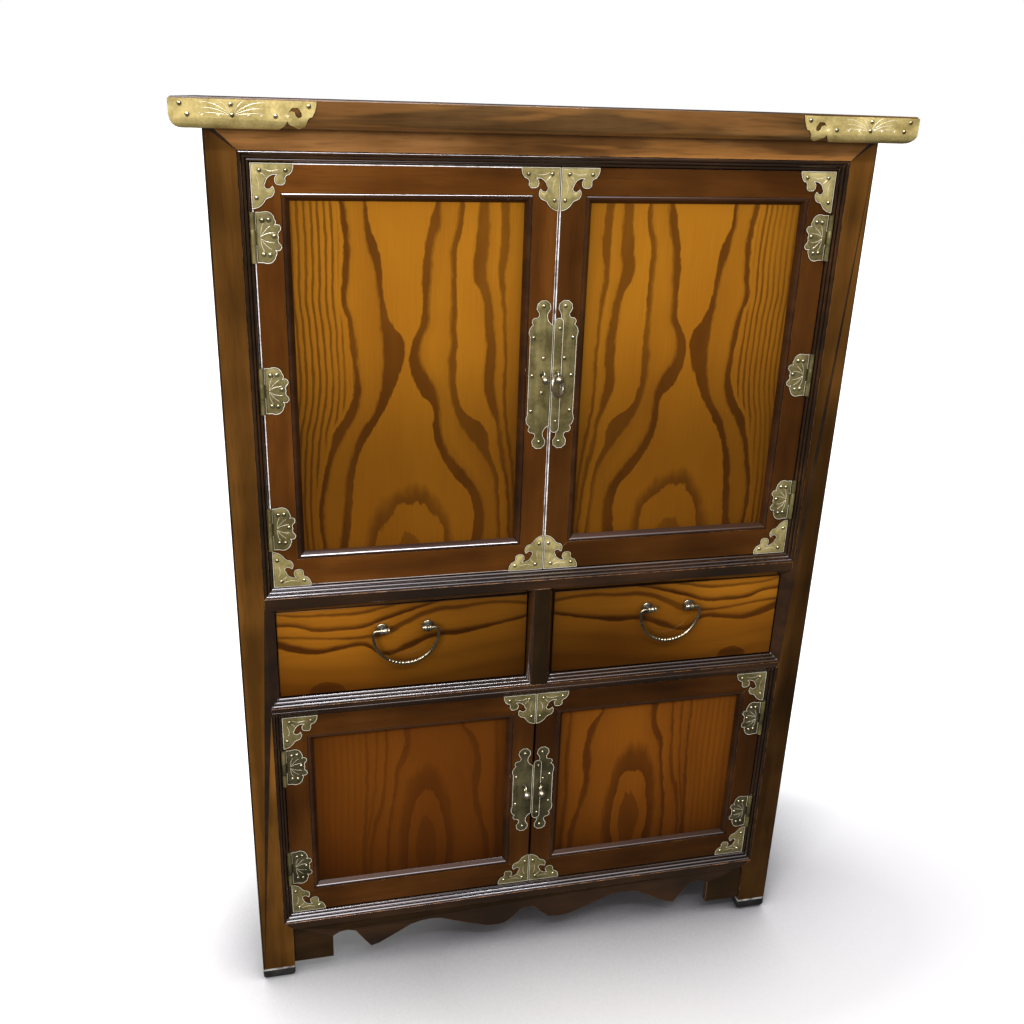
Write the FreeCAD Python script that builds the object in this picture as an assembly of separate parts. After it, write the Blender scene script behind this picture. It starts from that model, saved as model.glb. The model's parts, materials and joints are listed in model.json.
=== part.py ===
import FreeCAD, Part
import math
import os

V = FreeCAD.Vector

# A two tier wooden chest. Origin: middle of the footprint, on the floor.
# +X is to the right of someone facing the doors, +Y is to the back, +Z is up.
# All sizes are in millimetres.

# Whole case
body_width = 860.0
body_depth = 430.0

# Heights of the front, from the floor upward
foot_pad_height = 22.0
leg_height = 98.5
lower_opening_height = 359.0
lower_drawer_rail_height = 32.0
drawer_opening_height = 137.5
upper_drawer_rail_height = 37.0
upper_opening_height = 556.5
top_rail_height = 37.5
top_board_thickness = 32.0

# Posts and front rails
post_flat_width = 37.0
post_depth = 45.0
post_edge_radius = 2.5
front_rail_thickness = 28.0
bottom_rail_height = 25.0
front_tenon_length = 12.0
tenon_height = 16.0
tenon_thickness = 10.0

# Beaded moulding round the front openings
mould_width = 12.5
mould_step = 3.0
bead_rise = 1.2
bead_count = 3

# Plain bevels of the drawer openings
drawer_jamb_bevel = 12.5
drawer_head_bevel = 10.0
divider_bevel = 7.5
divider_flat_width = 23.0

# Side and back frames
side_rail_height = 30.0
side_rail_thickness = 20.0
side_rail_inset = 2.0
side_tenon_length = 16.0
back_rail_thickness = 20.0
back_rail_inset = 2.0
back_tenon_length = 15.0
panel_thickness = 8.0
panel_setback = 6.0
groove_depth = 6.0
groove_play = 1.0

# Boards inside the case
board_thickness = 12.0
board_rebate = 4.0

# Aprons below the case
apron_thickness = 12.0
apron_setback = 3.0
apron_floor_clearance = 27.0
front_bracket_width = 61.5
side_bracket_width = 52.0

# Foot pads
foot_pad_chamfer = 5.0

# Top board
top_overhang_front = 33.0
top_overhang_side = 31.0
top_under_radius = 11.0
top_arris_radius = 2.0

# Brass caps on the ends of the top board
cap_thickness = 1.2
cap_front_length = 160.0
cap_side_length = 95.0

# Doors
door_recess = 9.0
door_thickness = 20.0
door_gap = 1.5
door_stile_width = 34.0
door_top_rail_width = 34.0
door_bottom_rail_width = 40.0
door_mould_width = 9.5
door_bead_width = 5.0
door_bead_rise = 1.1
door_panel_depth = 6.0
door_panel_thickness = 7.0
door_groove_depth = 6.0
door_tenon_length = 24.0
door_tenon_thickness = 6.0
door_tenon_height = 18.0

# Brass plates on the doors
plate_thickness = 1.2
corner_plate_width = 50.0
corner_plate_height = 53.0
lock_plate_width = 31.5
upper_lock_height = 205.0
lower_lock_height = 157.0
upper_lock_rise = 9.0
lower_lock_rise = 3.0
lock_strip_width = 12.4
lock_strip_thickness = 1.5
lock_strip_shortfall = 23.5
lock_strip_gap_cover = 0.45

# Hinges
hinge_height = 60.0
hinge_leaf_width = 32.0
hinge_end_offset = 86.0
knuckle_radius = 3.0
knuckle_count = 3
knuckle_play = 0.4
knuckle_end_play = 0.15
hinge_face_play = 0.3
pin_radius = 1.2
pin_play = 0.05
frame_leaf_thickness = 1.0
frame_leaf_depth = 22.0

# Eye staples and the ring
staple_offset = 13.5
upper_staple_rise = 3.0
lower_staple_rise = 8.0
eye_reach = 8.6
eye_hole_radius = 4.3
eye_wire_radius = 1.3
staple_stem_radius = 2.2
ball_radius = 4.6
ball_reach = 10.2
ring_radius = 14.0
ring_wire_radius = 2.0
ring_turn_deg = 45.0
ring_lean_deg = 18.0

# Drawers
drawer_gap = 1.5
drawer_recess = 9.0
drawer_front_thickness = 18.0
drawer_side_thickness = 10.0
drawer_back_thickness = 10.0
drawer_side_inset = 0.5
drawer_side_lap = 9.0
drawer_side_drop = 5.5
drawer_bottom_thickness = 5.0
drawer_bottom_rise = 8.0
drawer_bottom_groove = 4.0
drawer_back_gap = 5.0
drawer_running_gap = 0.4
drawer_arris = 1.0
guide_height = 20.0
guide_play = 0.5

# Drawer bails and their posts
bail_rise = 32.0
bail_reach = 11.0
bail_bow_radius = 46.8
bail_bow_drop = 5.2
bail_corner_radius = 6.0
bail_wire_radius = 1.7
bail_belly_radius = 2.6
bail_belly_half_angle_deg = 42.0
bail_pin_end = 27.5
barrel_start = 23.5
barrel_end = 36.0
barrel_radius = 4.2
barrel_collar_radius = 4.9
barrel_collar_width = 2.0
barrel_bore_play = 0.05
barrel_end_play = 0.3
rosette_radius = 9.0
rosette_rim = 1.0
rosette_rise = 1.2
rosette_stem_radius = 3.2
rosette_stem_x = 33.0

# How many flat pieces make up each curve of the mouldings and the fittings
bead_chords = 3
board_edge_chords = 5
board_arris_chords = 2
apron_chords = 3
plate_chords = 2
lock_chords = 3
cap_chords = 3
knuckle_sides = 8
stem_sides = 8
wire_sides = 8
eye_chords = 12
eye_sides = 6
ring_chords = 24
ball_sides = 8
ball_levels = 5
rosette_sides = 12
barrel_sides = 8
bail_corner_chords = 3
bail_bow_chords = 8

# One overrun serves all cuts
overrun = 5.0
closing_tolerance = 0.000001

# Outline of a corner plate: steps of (end) or (middle, end), as shares of its width and height
corner_outline_shares = (
    ((1.0, 0.0),),
    ((0.99, 0.12), (0.90, 0.25)),
    ((0.84, 0.27), (0.80, 0.33)),
    ((0.76, 0.46), (0.66, 0.47)),
    ((0.61, 0.465), (0.565, 0.43)),
    ((0.545, 0.35), (0.60, 0.25)),
    ((0.43, 0.29), (0.34, 0.42)),
    ((0.345, 0.54), (0.44, 0.54)),
    ((0.50, 0.49),),
    ((0.54, 0.62), (0.45, 0.74)),
    ((0.38, 0.76), (0.32, 0.80)),
    ((0.22, 0.92), (0.0, 1.0)),
)

# Upper half of a hinge leaf, from the top of the barrel to the middle of the outer edge,
# as shares of the leaf's width and height
hinge_half_shares = (
    ((0.34, 0.5),),
    ((0.64, 0.5), (0.82, 0.36)),
    ((0.86, 0.31), (0.83, 0.26)),
    ((0.98, 0.25), (1.0, 0.13)),
    ((0.93, 0.08), (0.95, 0.0)),
)

# Upper end of a lock plate, from the gap between the doors to the straight outer edge:
# shares of the plate's width inward from the gap and down from the plate's end
lock_end_shares = (
    ((0.15, 0.96), (0.25, 0.56)),
    ((0.435, 0.0), (0.64, 0.56)),
    ((0.68, 0.71), (0.79, 0.74)),
    ((0.90, 0.80), (0.88, 1.03)),
    ((0.98, 1.13), (1.0, 1.55)),
)
lock_gap_share = 1.05

# Inner end of a top cap: shares of the board's thickness, towards the chest's end and down
cap_end_shares = (
    ((0.06, 0.32), (0.17, 0.53)),
    ((0.24, 0.54), (0.33, 0.64)),
    ((0.52, 0.92), (0.86, 0.84)),
    ((0.96, 0.80), (1.03, 0.68)),
    ((1.16, 0.86), (1.47, 1.0)),
)
# Comma cut-out of a top cap, from the end of its tail over the top and round its head
cap_comma_shares = (
    ((0.985, 0.40),),
    ((0.80, 0.21), (0.53, 0.40)),
    ((0.61, 0.575), (0.74, 0.49)),
    ((0.82, 0.345), (0.985, 0.40)),
)

# Lower edge of the front apron, from beside the middle to a pendant point: shares of the half length
# between the brackets and of the apron's height. The crest joins both halves in the middle.
apron_crest_shares = ((0.0, 0.657), (0.04, 0.607))
apron_wave_shares = (
    ((0.075, 0.43), (0.115, 0.27)),
    ((0.165, 0.234), (0.23, 0.275)),
    ((0.36, 0.50), (0.455, 0.68)),
    ((0.52, 0.705), (0.61, 0.62)),
    ((0.70, 0.38), (0.77, 0.20)),
    ((0.812, 0.143),),
)
apron_pocket_shares = (
    ((0.845, 0.36), (0.888, 0.66)),
    ((0.945, 0.715), (1.0, 0.60)),
    ((1.0, 0.0),),
)
# Lower edge of a side apron, from beside the middle outward, in the same shares
side_crest_shares = ((0.0, 0.56), (0.06, 0.50))
side_wave_shares = (
    ((0.14, 0.32), (0.24, 0.27)),
    ((0.42, 0.46), (0.60, 0.70)),
    ((0.74, 0.66),),
)
side_pocket_shares = (
    ((0.88, 0.52), (0.97, 0.40)),
    ((0.995, 0.2), (1.0, 0.0)),
)

# Places worked out from the sizes
depth_total = top_overhang_front + cap_thickness + body_depth
front_y = depth_total / 2 - body_depth
back_y = front_y + body_depth
half_body = body_width / 2
post_width = post_flat_width + mould_width
opening_x = half_body - post_width
flat_x = half_body - post_flat_width
divider_x = divider_flat_width / 2 + divider_bevel

post_z = foot_pad_height
sill_z = post_z + leg_height
lower_head_z = sill_z + lower_opening_height
drawer_sill_z = lower_head_z + lower_drawer_rail_height
drawer_head_z = drawer_sill_z + drawer_opening_height
upper_sill_z = drawer_head_z + upper_drawer_rail_height
upper_head_z = upper_sill_z + upper_opening_height
post_top_z = upper_head_z + top_rail_height
top_z = post_top_z + top_board_thickness
apron_top_z = sill_z - bottom_rail_height
floor_levels = (sill_z, drawer_sill_z, upper_sill_z)
rail_levels = floor_levels + (post_top_z,)

door_face_y = front_y + door_recess
plate_face_y = door_face_y - plate_thickness
drawer_face_y = front_y + drawer_recess
door_edge_x = opening_x - door_gap
hinge_x = opening_x - door_gap / 2
hinge_y = door_face_y - hinge_face_play - knuckle_radius
side_out_x = half_body - side_rail_inset
side_in_x = side_out_x - side_rail_thickness
panel_out_x = side_out_x - panel_setback
front_post_back_y = front_y + post_depth
back_post_front_y = back_y - post_depth
back_rail_y = (back_y - back_rail_inset - back_rail_thickness, back_y - back_rail_inset)
back_panel_y = (back_rail_y[1] - panel_setback - panel_thickness, back_rail_y[1] - panel_setback)
rail_y = (front_y, front_y + front_rail_thickness)


def block(xs, ys, zs):
    """Box between two x, two y and two z values."""
    return Part.makeBox(xs[1] - xs[0], ys[1] - ys[0], zs[1] - zs[0], V(xs[0], ys[0], zs[0]))


def face_through(start, steps, place, chords):
    """Flat face from start through steps of (end) or (middle, end), closed by a straight edge.

    A step with a middle is an arc, laid as the given number of chords.
    """
    corners = [place(*start)]
    for step in steps:
        if len(step) == 1:
            corners.append(place(*step[0]))
        else:
            arc = Part.Arc(corners[-1], place(*step[0]), place(*step[1]))
            corners += arc.discretize(chords + 1)[1:]
    if corners[-1].distanceToPoint(corners[0]) < closing_tolerance:
        corners.pop()
    return Part.Face(Part.makePolygon(corners + corners[:1]))


def retraced(start, steps, flip):
    """Steps that lead from the flipped end of an outline back to its flipped start."""
    ends = [start] + [step[-1] for step in steps]
    back = []
    for step, end in zip(reversed(steps), reversed(ends[:-1])):
        back.append(tuple(flip(*point) for point in step[:-1] + (end,)))
    return back


def skin(rings, closed):
    """Solid with flat faces between rings of corners, closed on itself or capped at both ends."""
    following = rings[1:] + rings[:1] if closed else rings[1:]
    outlines = [] if closed else [rings[0], rings[-1]]
    for near, far in zip(rings, following):
        for k, corner in enumerate(near):
            after = (k + 1) % len(near)
            square = [corner, near[after], far[after], far[k]]
            normal = (square[1] - corner).cross(square[2] - corner)
            if abs(normal.normalize().dot(square[3] - corner)) < closing_tolerance:
                outlines.append(square)
            else:
                outlines += [square[:3], square[2:] + square[:1]]
    faces = [Part.Face(Part.makePolygon(outline + outline[:1])) for outline in outlines]
    solid = Part.Solid(Part.Shell(faces))
    if solid.Volume < 0:
        solid.reverse()
    return solid


def section(centre, across, beside, radius, sides):
    """Corners of a round section, with flats towards across and beside."""
    turns = [math.tau * (k + 1 / 2) / sides for k in range(sides)]
    return [centre + across * (radius * math.cos(turn)) + beside * (radius * math.sin(turn))
            for turn in turns]


def turned(profile, sides, foot, axis):
    """Faceted turning that starts at the foot: a radius and a height for each ring of corners."""
    rings = [section(V(0, 0, height), V(1, 0, 0), V(0, 1, 0), radius, sides) for radius, height in profile]
    solid = skin(rings, False)
    solid.Placement = FreeCAD.Placement(foot, FreeCAD.Rotation(V(0, 0, 1), axis))
    return solid


def peg(radius, length, sides, foot, axis):
    """Faceted peg whose corners lie at the radius."""
    return turned(((radius, 0), (radius, length)), sides, foot, axis)


def bore(radius, length, sides, foot, axis):
    """Faceted tool for a hole whose flats lie at the radius."""
    return peg(radius / math.cos(math.pi / sides), length, sides, foot, axis)


def hoop(radius, wire_radius, chords, sides):
    """Faceted ring of wire about the Y axis."""
    rings = []
    for k in range(chords):
        turn = math.tau * k / chords
        across = V(math.cos(turn), 0, math.sin(turn))
        rings.append(section(across * radius, across, V(0, 1, 0), wire_radius, sides))
    return skin(rings, True)


def polygon_prism(points, ys):
    """Prism of an x and z polygon between two y values."""
    corners = [V(x, ys[0], z) for x, z in points]
    return Part.Face(Part.makePolygon(corners + corners[:1])).extrude(V(0, ys[1] - ys[0], 0))


def scaled(steps, width, height):
    """Outline steps given in shares, as sizes."""
    return [tuple((x * width, z * height) for x, z in step) for step in steps]


def mirrored(shape):
    """The same shape on the other side of the chest's middle plane."""
    return shape.mirror(V(0, 0, 0), V(1, 0, 0))


def moved(shape, x, y, z):
    copy = shape.copy()
    copy.translate(V(x, y, z))
    return copy


def grown(spans, amount):
    """A box's spans with the same amount added on all sides."""
    return tuple((low - amount, high + amount) for low, high in spans)


def bead_steps(width):
    """Section of the beaded moulding: across from the flat's edge, and down from the front plane."""
    bead = width / bead_count
    steps = [((0, bead_rise),)]
    for k in range(bead_count):
        level = k * mould_step
        steps.append((((k + 1) * bead - bead / 2, level), ((k + 1) * bead, level + bead_rise)))
        if k < bead_count - 1:
            steps.append((((k + 1) * bead, level + mould_step + bead_rise),))
    steps.append(((width, -overrun),))
    return steps


def bevel_steps(width):
    """Section of a plain bevel down to the drawer fronts."""
    return [((0, 0),), ((width, drawer_recess),), ((width, -overrun),)]


def door_bead_steps(width):
    """Section of the door frame's inner edge: one bead, then a slope down to the panel."""
    return [
        ((0, door_bead_rise),),
        ((door_bead_width / 2, 0), (door_bead_width, door_bead_rise)),
        ((width, door_panel_depth),),
        ((width, -overrun),),
    ]


def edge_voids(xs, zs, widths, sections, face_y):
    """What four mitred edge mouldings leave empty round an opening.

    widths and sections run bottom, right, top, left. The opening is xs by zs, and the front plane of
    the wood round it is at face_y.
    """
    bottom, right, top, left = widths
    around = ((0, 0), (1, 0), (1, 1), (0, 1))
    inner = [(xs[i], zs[k]) for i, k in around]
    wide_xs = (xs[0] - left, xs[1] + right)
    wide_zs = (zs[0] - bottom, zs[1] + top)
    outer = [(wide_xs[i], wide_zs[k]) for i, k in around]
    inward = (V(0, 0, 1), V(-1, 0, 0), V(0, 0, -1), V(1, 0, 0))
    ys = (face_y - overrun - overrun, face_y + door_recess + drawer_recess)
    voids = []
    for k, across in enumerate(inward):
        start, end = outer[k], outer[(k + 1) % len(outer)]
        near, far = inner[k], inner[(k + 1) % len(inner)]
        place = lambda u, v: V(start[0], face_y + v, start[1]) + across * u
        profile = face_through((0, -overrun), sections[k](widths[k]), place, bead_chords)
        bar = profile.extrude(V(end[0] - start[0], 0, end[1] - start[1]))
        voids.append(bar.common(polygon_prism((start, near, far, end), ys)))
    return voids


def cut_all(shape, tools):
    """Subtract every tool that reaches the shape."""
    near = [tool for tool in tools if tool.BoundBox.intersect(shape.BoundBox)]
    return shape.cut(near) if near else shape


# Mouldings of the front openings
beaded = (mould_width,) * 4
upper_voids = edge_voids((-opening_x, opening_x), (upper_sill_z, upper_head_z), beaded,
                         (bead_steps,) * 4, front_y)
lower_voids = edge_voids((-opening_x, opening_x), (sill_z, lower_head_z), beaded,
                         (bead_steps,) * 4, front_y)
right_drawer_voids = edge_voids((divider_x, opening_x), (drawer_sill_z, drawer_head_z),
                                (mould_width, drawer_jamb_bevel, drawer_head_bevel, divider_bevel),
                                (bead_steps, bevel_steps, bevel_steps, bevel_steps), front_y)
left_drawer_voids = [mirrored(void) for void in right_drawer_voids]
front_voids = upper_voids + lower_voids + right_drawer_voids + left_drawer_voids


def front_tenon(zs):
    """Tenon block that runs through both ends of a front rail into the posts."""
    middle = (zs[0] + zs[1]) / 2
    reach = flat_x + front_tenon_length
    tenon_y = (rail_y[0] + rail_y[1]) / 2
    return block((-reach, reach), (tenon_y - tenon_thickness / 2, tenon_y + tenon_thickness / 2),
                 (middle - tenon_height / 2, middle + tenon_height / 2))


def front_rail(points, zs):
    """Front rail with mitred ends: points give the right-hand end from top to bottom."""
    outline = list(points) + [(-x, z) for x, z in reversed(points)]
    return polygon_prism(outline, rail_y).fuse(front_tenon(zs)).removeSplitter()


def floor_board(level):
    """Board let into the rails round it and notched round the posts."""
    xs = (-side_in_x - board_rebate, side_in_x + board_rebate)
    ys = (rail_y[1] - board_rebate, back_rail_y[0] + board_rebate)
    board = block(xs, ys, (level - board_thickness, level))
    for side in (-1, 1):
        corner_x = sorted((side * opening_x, side * (half_body + overrun)))
        zs = (level - board_thickness - overrun, level + overrun)
        board = board.cut(block(corner_x, (front_y - overrun, front_post_back_y), zs))
        board = board.cut(block(corner_x, (back_post_front_y, back_y + overrun), zs))
    return board


boards = {
    "bottom_board": floor_board(sill_z),
    "drawer_deck": floor_board(drawer_sill_z),
    "upper_floor": floor_board(upper_sill_z),
}

mitre_top_x = opening_x + top_rail_height
top_rail = front_rail(((mitre_top_x, post_top_z), (opening_x, upper_head_z)),
                      (upper_head_z + mould_width, post_top_z))
upper_drawer_rail = front_rail(
    ((opening_x, upper_sill_z), (flat_x, upper_sill_z - mould_width),
     (flat_x, drawer_head_z + drawer_head_bevel), (opening_x, drawer_head_z)),
    (drawer_head_z, upper_sill_z))
lower_drawer_rail = front_rail(
    ((opening_x, drawer_sill_z), (flat_x, drawer_sill_z - mould_width),
     (flat_x, lower_head_z + mould_width), (opening_x, lower_head_z)),
    (lower_head_z, drawer_sill_z))
bottom_rail = front_rail(
    ((opening_x, sill_z), (flat_x, sill_z - mould_width), (opening_x, sill_z - bottom_rail_height)),
    (apron_top_z, sill_z))
front_rails = [top_rail, upper_drawer_rail, lower_drawer_rail, bottom_rail]

divider_half = ((divider_x, drawer_sill_z), (divider_x - divider_bevel, drawer_sill_z - mould_width))
divider_top = ((divider_x - divider_bevel, drawer_head_z + drawer_head_bevel), (divider_x, drawer_head_z))
divider_right = list(divider_half[::-1]) + list(divider_top[::-1])
drawer_divider = polygon_prism(divider_right + [(-x, z) for x, z in reversed(divider_right)], rail_y)


def side_rail(level):
    """Right-hand side rail with its top at the level, tenoned into both posts."""
    rail = block((side_in_x, side_out_x), (front_post_back_y, back_post_front_y),
                 (level - side_rail_height, level))
    middle_x = (side_in_x + side_out_x) / 2
    middle_z = level - side_rail_height / 2
    tenon = block((middle_x - tenon_thickness / 2, middle_x + tenon_thickness / 2),
                  (front_post_back_y - side_tenon_length, back_post_front_y + side_tenon_length),
                  (middle_z - tenon_height / 2, middle_z + tenon_height / 2))
    return rail.fuse(tenon).removeSplitter()


def back_rail(level):
    """Back rail with its top at the level, tenoned into the back posts."""
    rail = block((-opening_x, opening_x), back_rail_y, (level - side_rail_height, level))
    middle_y = (back_rail_y[0] + back_rail_y[1]) / 2
    middle_z = level - side_rail_height / 2
    reach = opening_x + back_tenon_length
    tenon = block((-reach, reach), (middle_y - tenon_thickness / 2, middle_y + tenon_thickness / 2),
                  (middle_z - tenon_height / 2, middle_z + tenon_height / 2))
    return rail.fuse(tenon).removeSplitter()


side_rails = [side_rail(level) for level in rail_levels]
back_rails = [back_rail(level) for level in rail_levels]
panel_spans = [(low, high - side_rail_height) for low, high in zip(rail_levels, rail_levels[1:])]

side_panel_x = (panel_out_x - panel_thickness, panel_out_x)
side_panels = []
side_grooves = []
back_panels = []
back_grooves = []
for low, high in panel_spans:
    side_space = ((side_panel_x), (front_post_back_y, back_post_front_y), (low, high))
    back_space = ((-opening_x, opening_x), back_panel_y, (low, high))
    depth_in = groove_depth - groove_play
    side_panels.append(block(side_panel_x, grown(side_space, depth_in)[1], grown(side_space, depth_in)[2]))
    side_grooves.append(block(side_panel_x, grown(side_space, groove_depth)[1],
                              grown(side_space, groove_depth)[2]))
    back_panels.append(block(grown(back_space, depth_in)[0], back_panel_y, grown(back_space, depth_in)[2]))
    back_grooves.append(block(grown(back_space, groove_depth)[0], back_panel_y,
                              grown(back_space, groove_depth)[2]))

side_rails = [cut_all(rail, side_grooves + list(boards.values())) for rail in side_rails]
back_rails = [cut_all(rail, back_grooves + list(boards.values())) for rail in back_rails]


def hinge_seats(centres):
    """Notches in the right-hand moulding that clear the hinge knuckles."""
    reach = knuckle_radius + knuckle_play
    half = hinge_height / 2 + knuckle_play
    xs = (hinge_x - reach, hinge_x + reach)
    return [block(xs, (front_y - overrun, hinge_y + reach), (z - half, z + half)) for z in centres]


def corner_post(ys, outer_y):
    """Right-hand post whose outer corner is rounded."""
    post = block((opening_x, half_body), ys, (post_z, post_top_z))
    corner = [edge for edge in post.Edges
              if edge.BoundBox.XMin > half_body - closing_tolerance
              and abs(edge.BoundBox.Center.y - outer_y) < closing_tolerance]
    return post.makeFillet(post_edge_radius, corner)


upper_door_z = (upper_sill_z + door_gap, upper_head_z - door_gap)
lower_door_z = (sill_z + door_gap, lower_head_z - door_gap)
upper_hinges = (upper_door_z[0] + hinge_end_offset, (upper_door_z[0] + upper_door_z[1]) / 2,
                upper_door_z[1] - hinge_end_offset)
lower_hinges = (lower_door_z[0] + hinge_end_offset, lower_door_z[1] - hinge_end_offset)
seats = hinge_seats(upper_hinges + lower_hinges)

front_post = cut_all(corner_post((front_y, front_post_back_y), front_y),
                     front_rails + side_rails + side_grooves + upper_voids + lower_voids
                     + right_drawer_voids + seats)
back_post = cut_all(corner_post((back_post_front_y, back_y), back_y),
                    side_rails + side_grooves + back_rails + back_grooves)


def finished_front_rail(rail):
    return cut_all(rail, [drawer_divider] + list(boards.values()) + front_voids)


def apron(half, reach, base, top, crest_shares, wave_shares, pocket_shares, place, run):
    """Apron with a symmetric wavy lower edge between brackets that end at plus and minus reach."""
    flip = lambda u, w: (-u, w)
    crest, beside = [(u * half, base + w * (top - base)) for u, w in crest_shares]
    steps = scaled(wave_shares + pocket_shares, half, top - base)
    steps = [tuple((u, base + w) for u, w in step) for step in steps]
    steps += [((reach, base),), ((reach, top),)]
    outline = steps + [((-reach, top),)] + retraced(beside, steps, flip) + [(crest, beside)]
    return face_through(beside, outline, place, apron_chords).extrude(run)


def front_apron():
    """Scalloped board under the bottom rail, with brackets against the posts."""
    y = front_y + apron_setback
    return apron(opening_x - front_bracket_width, opening_x, apron_floor_clearance, apron_top_z,
                 apron_crest_shares, apron_wave_shares, apron_pocket_shares,
                 lambda u, w: V(u, y, w), V(0, apron_thickness, 0))


def side_apron():
    """Right-hand side apron between the posts, under the lowest side rail."""
    half_length = (back_post_front_y - front_post_back_y) / 2
    middle_y = (back_post_front_y + front_post_back_y) / 2
    x = side_out_x - apron_setback
    return apron(half_length - side_bracket_width, half_length, apron_floor_clearance,
                 sill_z - side_rail_height, side_crest_shares, side_wave_shares, side_pocket_shares,
                 lambda u, w: V(x, middle_y + u, w), V(-apron_thickness, 0, 0))


def foot_pads():
    """Black pads under the four posts, with a chamfer round the floor."""
    pads = []
    for ys in ((front_y, front_post_back_y), (back_post_front_y, back_y)):
        pad = block((opening_x, half_body), ys, (0, foot_pad_height))
        low = [edge for edge in pad.Edges if edge.BoundBox.ZMax < closing_tolerance]
        pad = pad.makeChamfer(foot_pad_chamfer, low)
        pads += [pad, mirrored(pad)]
    return Part.makeCompound(pads)


def slab(proud, arris):
    """Top board with rounded under edges and upper arrises, or a shape that stands proud of it."""
    radius = top_under_radius + proud
    profile = []
    for k in range(board_edge_chords + 1):
        turn = math.pi / 2 * k / board_edge_chords
        profile.append((radius * (1 - math.sin(turn)), post_top_z - proud + radius * (1 - math.cos(turn))))
    for k in range(board_arris_chords + 1 if arris else 1):
        turn = math.pi / 2 * k / board_arris_chords
        profile.append((arris * (1 - math.cos(turn)), top_z - arris * (1 - math.sin(turn))))
    rings = []
    for inset, z in profile:
        x = half_body + top_overhang_side + proud - inset
        y = front_y - top_overhang_front - proud + inset
        rings.append([V(-x, y, z), V(x, y, z), V(x, back_y, z), V(-x, back_y, z)])
    return skin(rings, False)


cap_end_x = half_body + top_overhang_side
cap_front_y = front_y - top_overhang_front
top_board = slab(0, top_arris_radius)


def top_cap():
    """Right-hand brass cap that wraps the front corner of the top board."""
    shell = slab(cap_thickness, 0).cut(top_board)
    high = top_z - top_arris_radius
    unit = top_board_thickness
    tip_x = cap_end_x - cap_front_length
    below = post_top_z - cap_thickness - overrun
    end_steps = scaled(cap_end_shares, unit, unit)
    end_steps.append(((end_steps[-1][-1][0], high - below),))
    front_steps = end_steps + [((cap_end_x + overrun - tip_x, high - below),),
                               ((cap_end_x + overrun - tip_x, 0),)]
    front_reach = (cap_front_y - cap_thickness - overrun, cap_front_y + top_under_radius)
    front_face = face_through((0, 0), front_steps,
                              lambda u, w: V(tip_x + u, front_reach[0], high - w), cap_chords)
    front_part = front_face.extrude(V(0, front_reach[1] - front_reach[0], 0))
    tip_y = cap_front_y + cap_side_length
    side_in = cap_end_x - top_under_radius
    side_steps = end_steps + [((tip_y - cap_front_y + overrun, high - below),),
                              ((tip_y - cap_front_y + overrun, 0),)]
    side_face = face_through((0, 0), side_steps, lambda u, w: V(side_in, tip_y - u, high - w), cap_chords)
    side_part = side_face.extrude(V(cap_end_x + overrun - side_in, 0, 0))
    comma_steps = scaled(cap_comma_shares, unit, unit)
    comma = face_through(comma_steps[0][0], comma_steps[1:],
                         lambda u, w: V(tip_x + u, cap_front_y - overrun, high - w), cap_chords)
    return shell.common(front_part.fuse(side_part)).cut(comma.extrude(V(0, overrun + overrun, 0)))


def door_frame(zs):
    """Mitred frame of a right-hand door: two stiles and two rails, grooved for the panel."""
    xs = (door_gap / 2, door_edge_x)
    flat = (xs[0] + door_stile_width, xs[1] - door_stile_width)
    flat_zs = (zs[0] + door_bottom_rail_width, zs[1] - door_top_rail_width)
    inner = (flat[0] + door_mould_width, flat[1] - door_mould_width)
    inner_zs = (flat_zs[0] + door_mould_width, flat_zs[1] - door_mould_width)
    ys = (door_face_y, door_face_y + door_thickness)
    sections = (door_bead_steps,) * 4
    voids = edge_voids(inner, inner_zs, (door_mould_width,) * 4, sections, door_face_y)
    panel_y = (door_face_y + door_panel_depth, door_face_y + door_panel_depth + door_panel_thickness)
    groove = block((inner[0] - door_groove_depth, inner[1] + door_groove_depth), panel_y,
                   (inner_zs[0] - door_groove_depth, inner_zs[1] + door_groove_depth))
    tenon_y = (panel_y[0] + (door_panel_thickness - door_tenon_thickness) / 2,
               panel_y[0] + (door_panel_thickness + door_tenon_thickness) / 2)
    rails = []
    for edge, flat_z, inner_z in zip(zs, flat_zs, inner_zs):
        outline = [(xs[0], edge), (flat[0], flat_z), (inner[0], inner_z), (inner[1], inner_z),
                   (flat[1], flat_z), (xs[1], edge)]
        middle = (edge + inner_z) / 2
        tenon = block((inner[0] - door_tenon_length, inner[1] + door_tenon_length), tenon_y,
                      (middle - door_tenon_height / 2, middle + door_tenon_height / 2))
        rails.append(polygon_prism(outline, ys).fuse(tenon).removeSplitter())
    stiles = []
    for edge, flat_x_here, inner_x in zip(xs, flat, inner):
        outline = [(edge, zs[0]), (flat_x_here, flat_zs[0]), (inner_x, inner_zs[0]),
                   (inner_x, inner_zs[1]), (flat_x_here, flat_zs[1]), (edge, zs[1])]
        stiles.append(polygon_prism(outline, ys).cut(rails))
    panel = block((inner[0] - door_groove_depth + groove_play, inner[1] + door_groove_depth - groove_play),
                  panel_y,
                  (inner_zs[0] - door_groove_depth + groove_play,
                   inner_zs[1] + door_groove_depth - groove_play))
    frame = [cut_all(piece, voids + [groove]) for piece in stiles + rails]
    return Part.makeCompound(frame), panel


def corner_plates(zs):
    """Four corner plates of a right-hand door, each with its right angle at the door's corner."""
    steps = scaled(corner_outline_shares, corner_plate_width, corner_plate_height)
    plates = []
    for x, side in ((door_gap / 2, 1), (door_edge_x, -1)):
        for z, up in ((zs[0], 1), (zs[1], -1)):
            place = lambda u, w: V(x + side * u, plate_face_y, z + up * w)
            face = face_through((0, 0), steps, place, plate_chords)
            plates.append(face.extrude(V(0, plate_thickness, 0)))
    return Part.makeCompound(plates)


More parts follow.
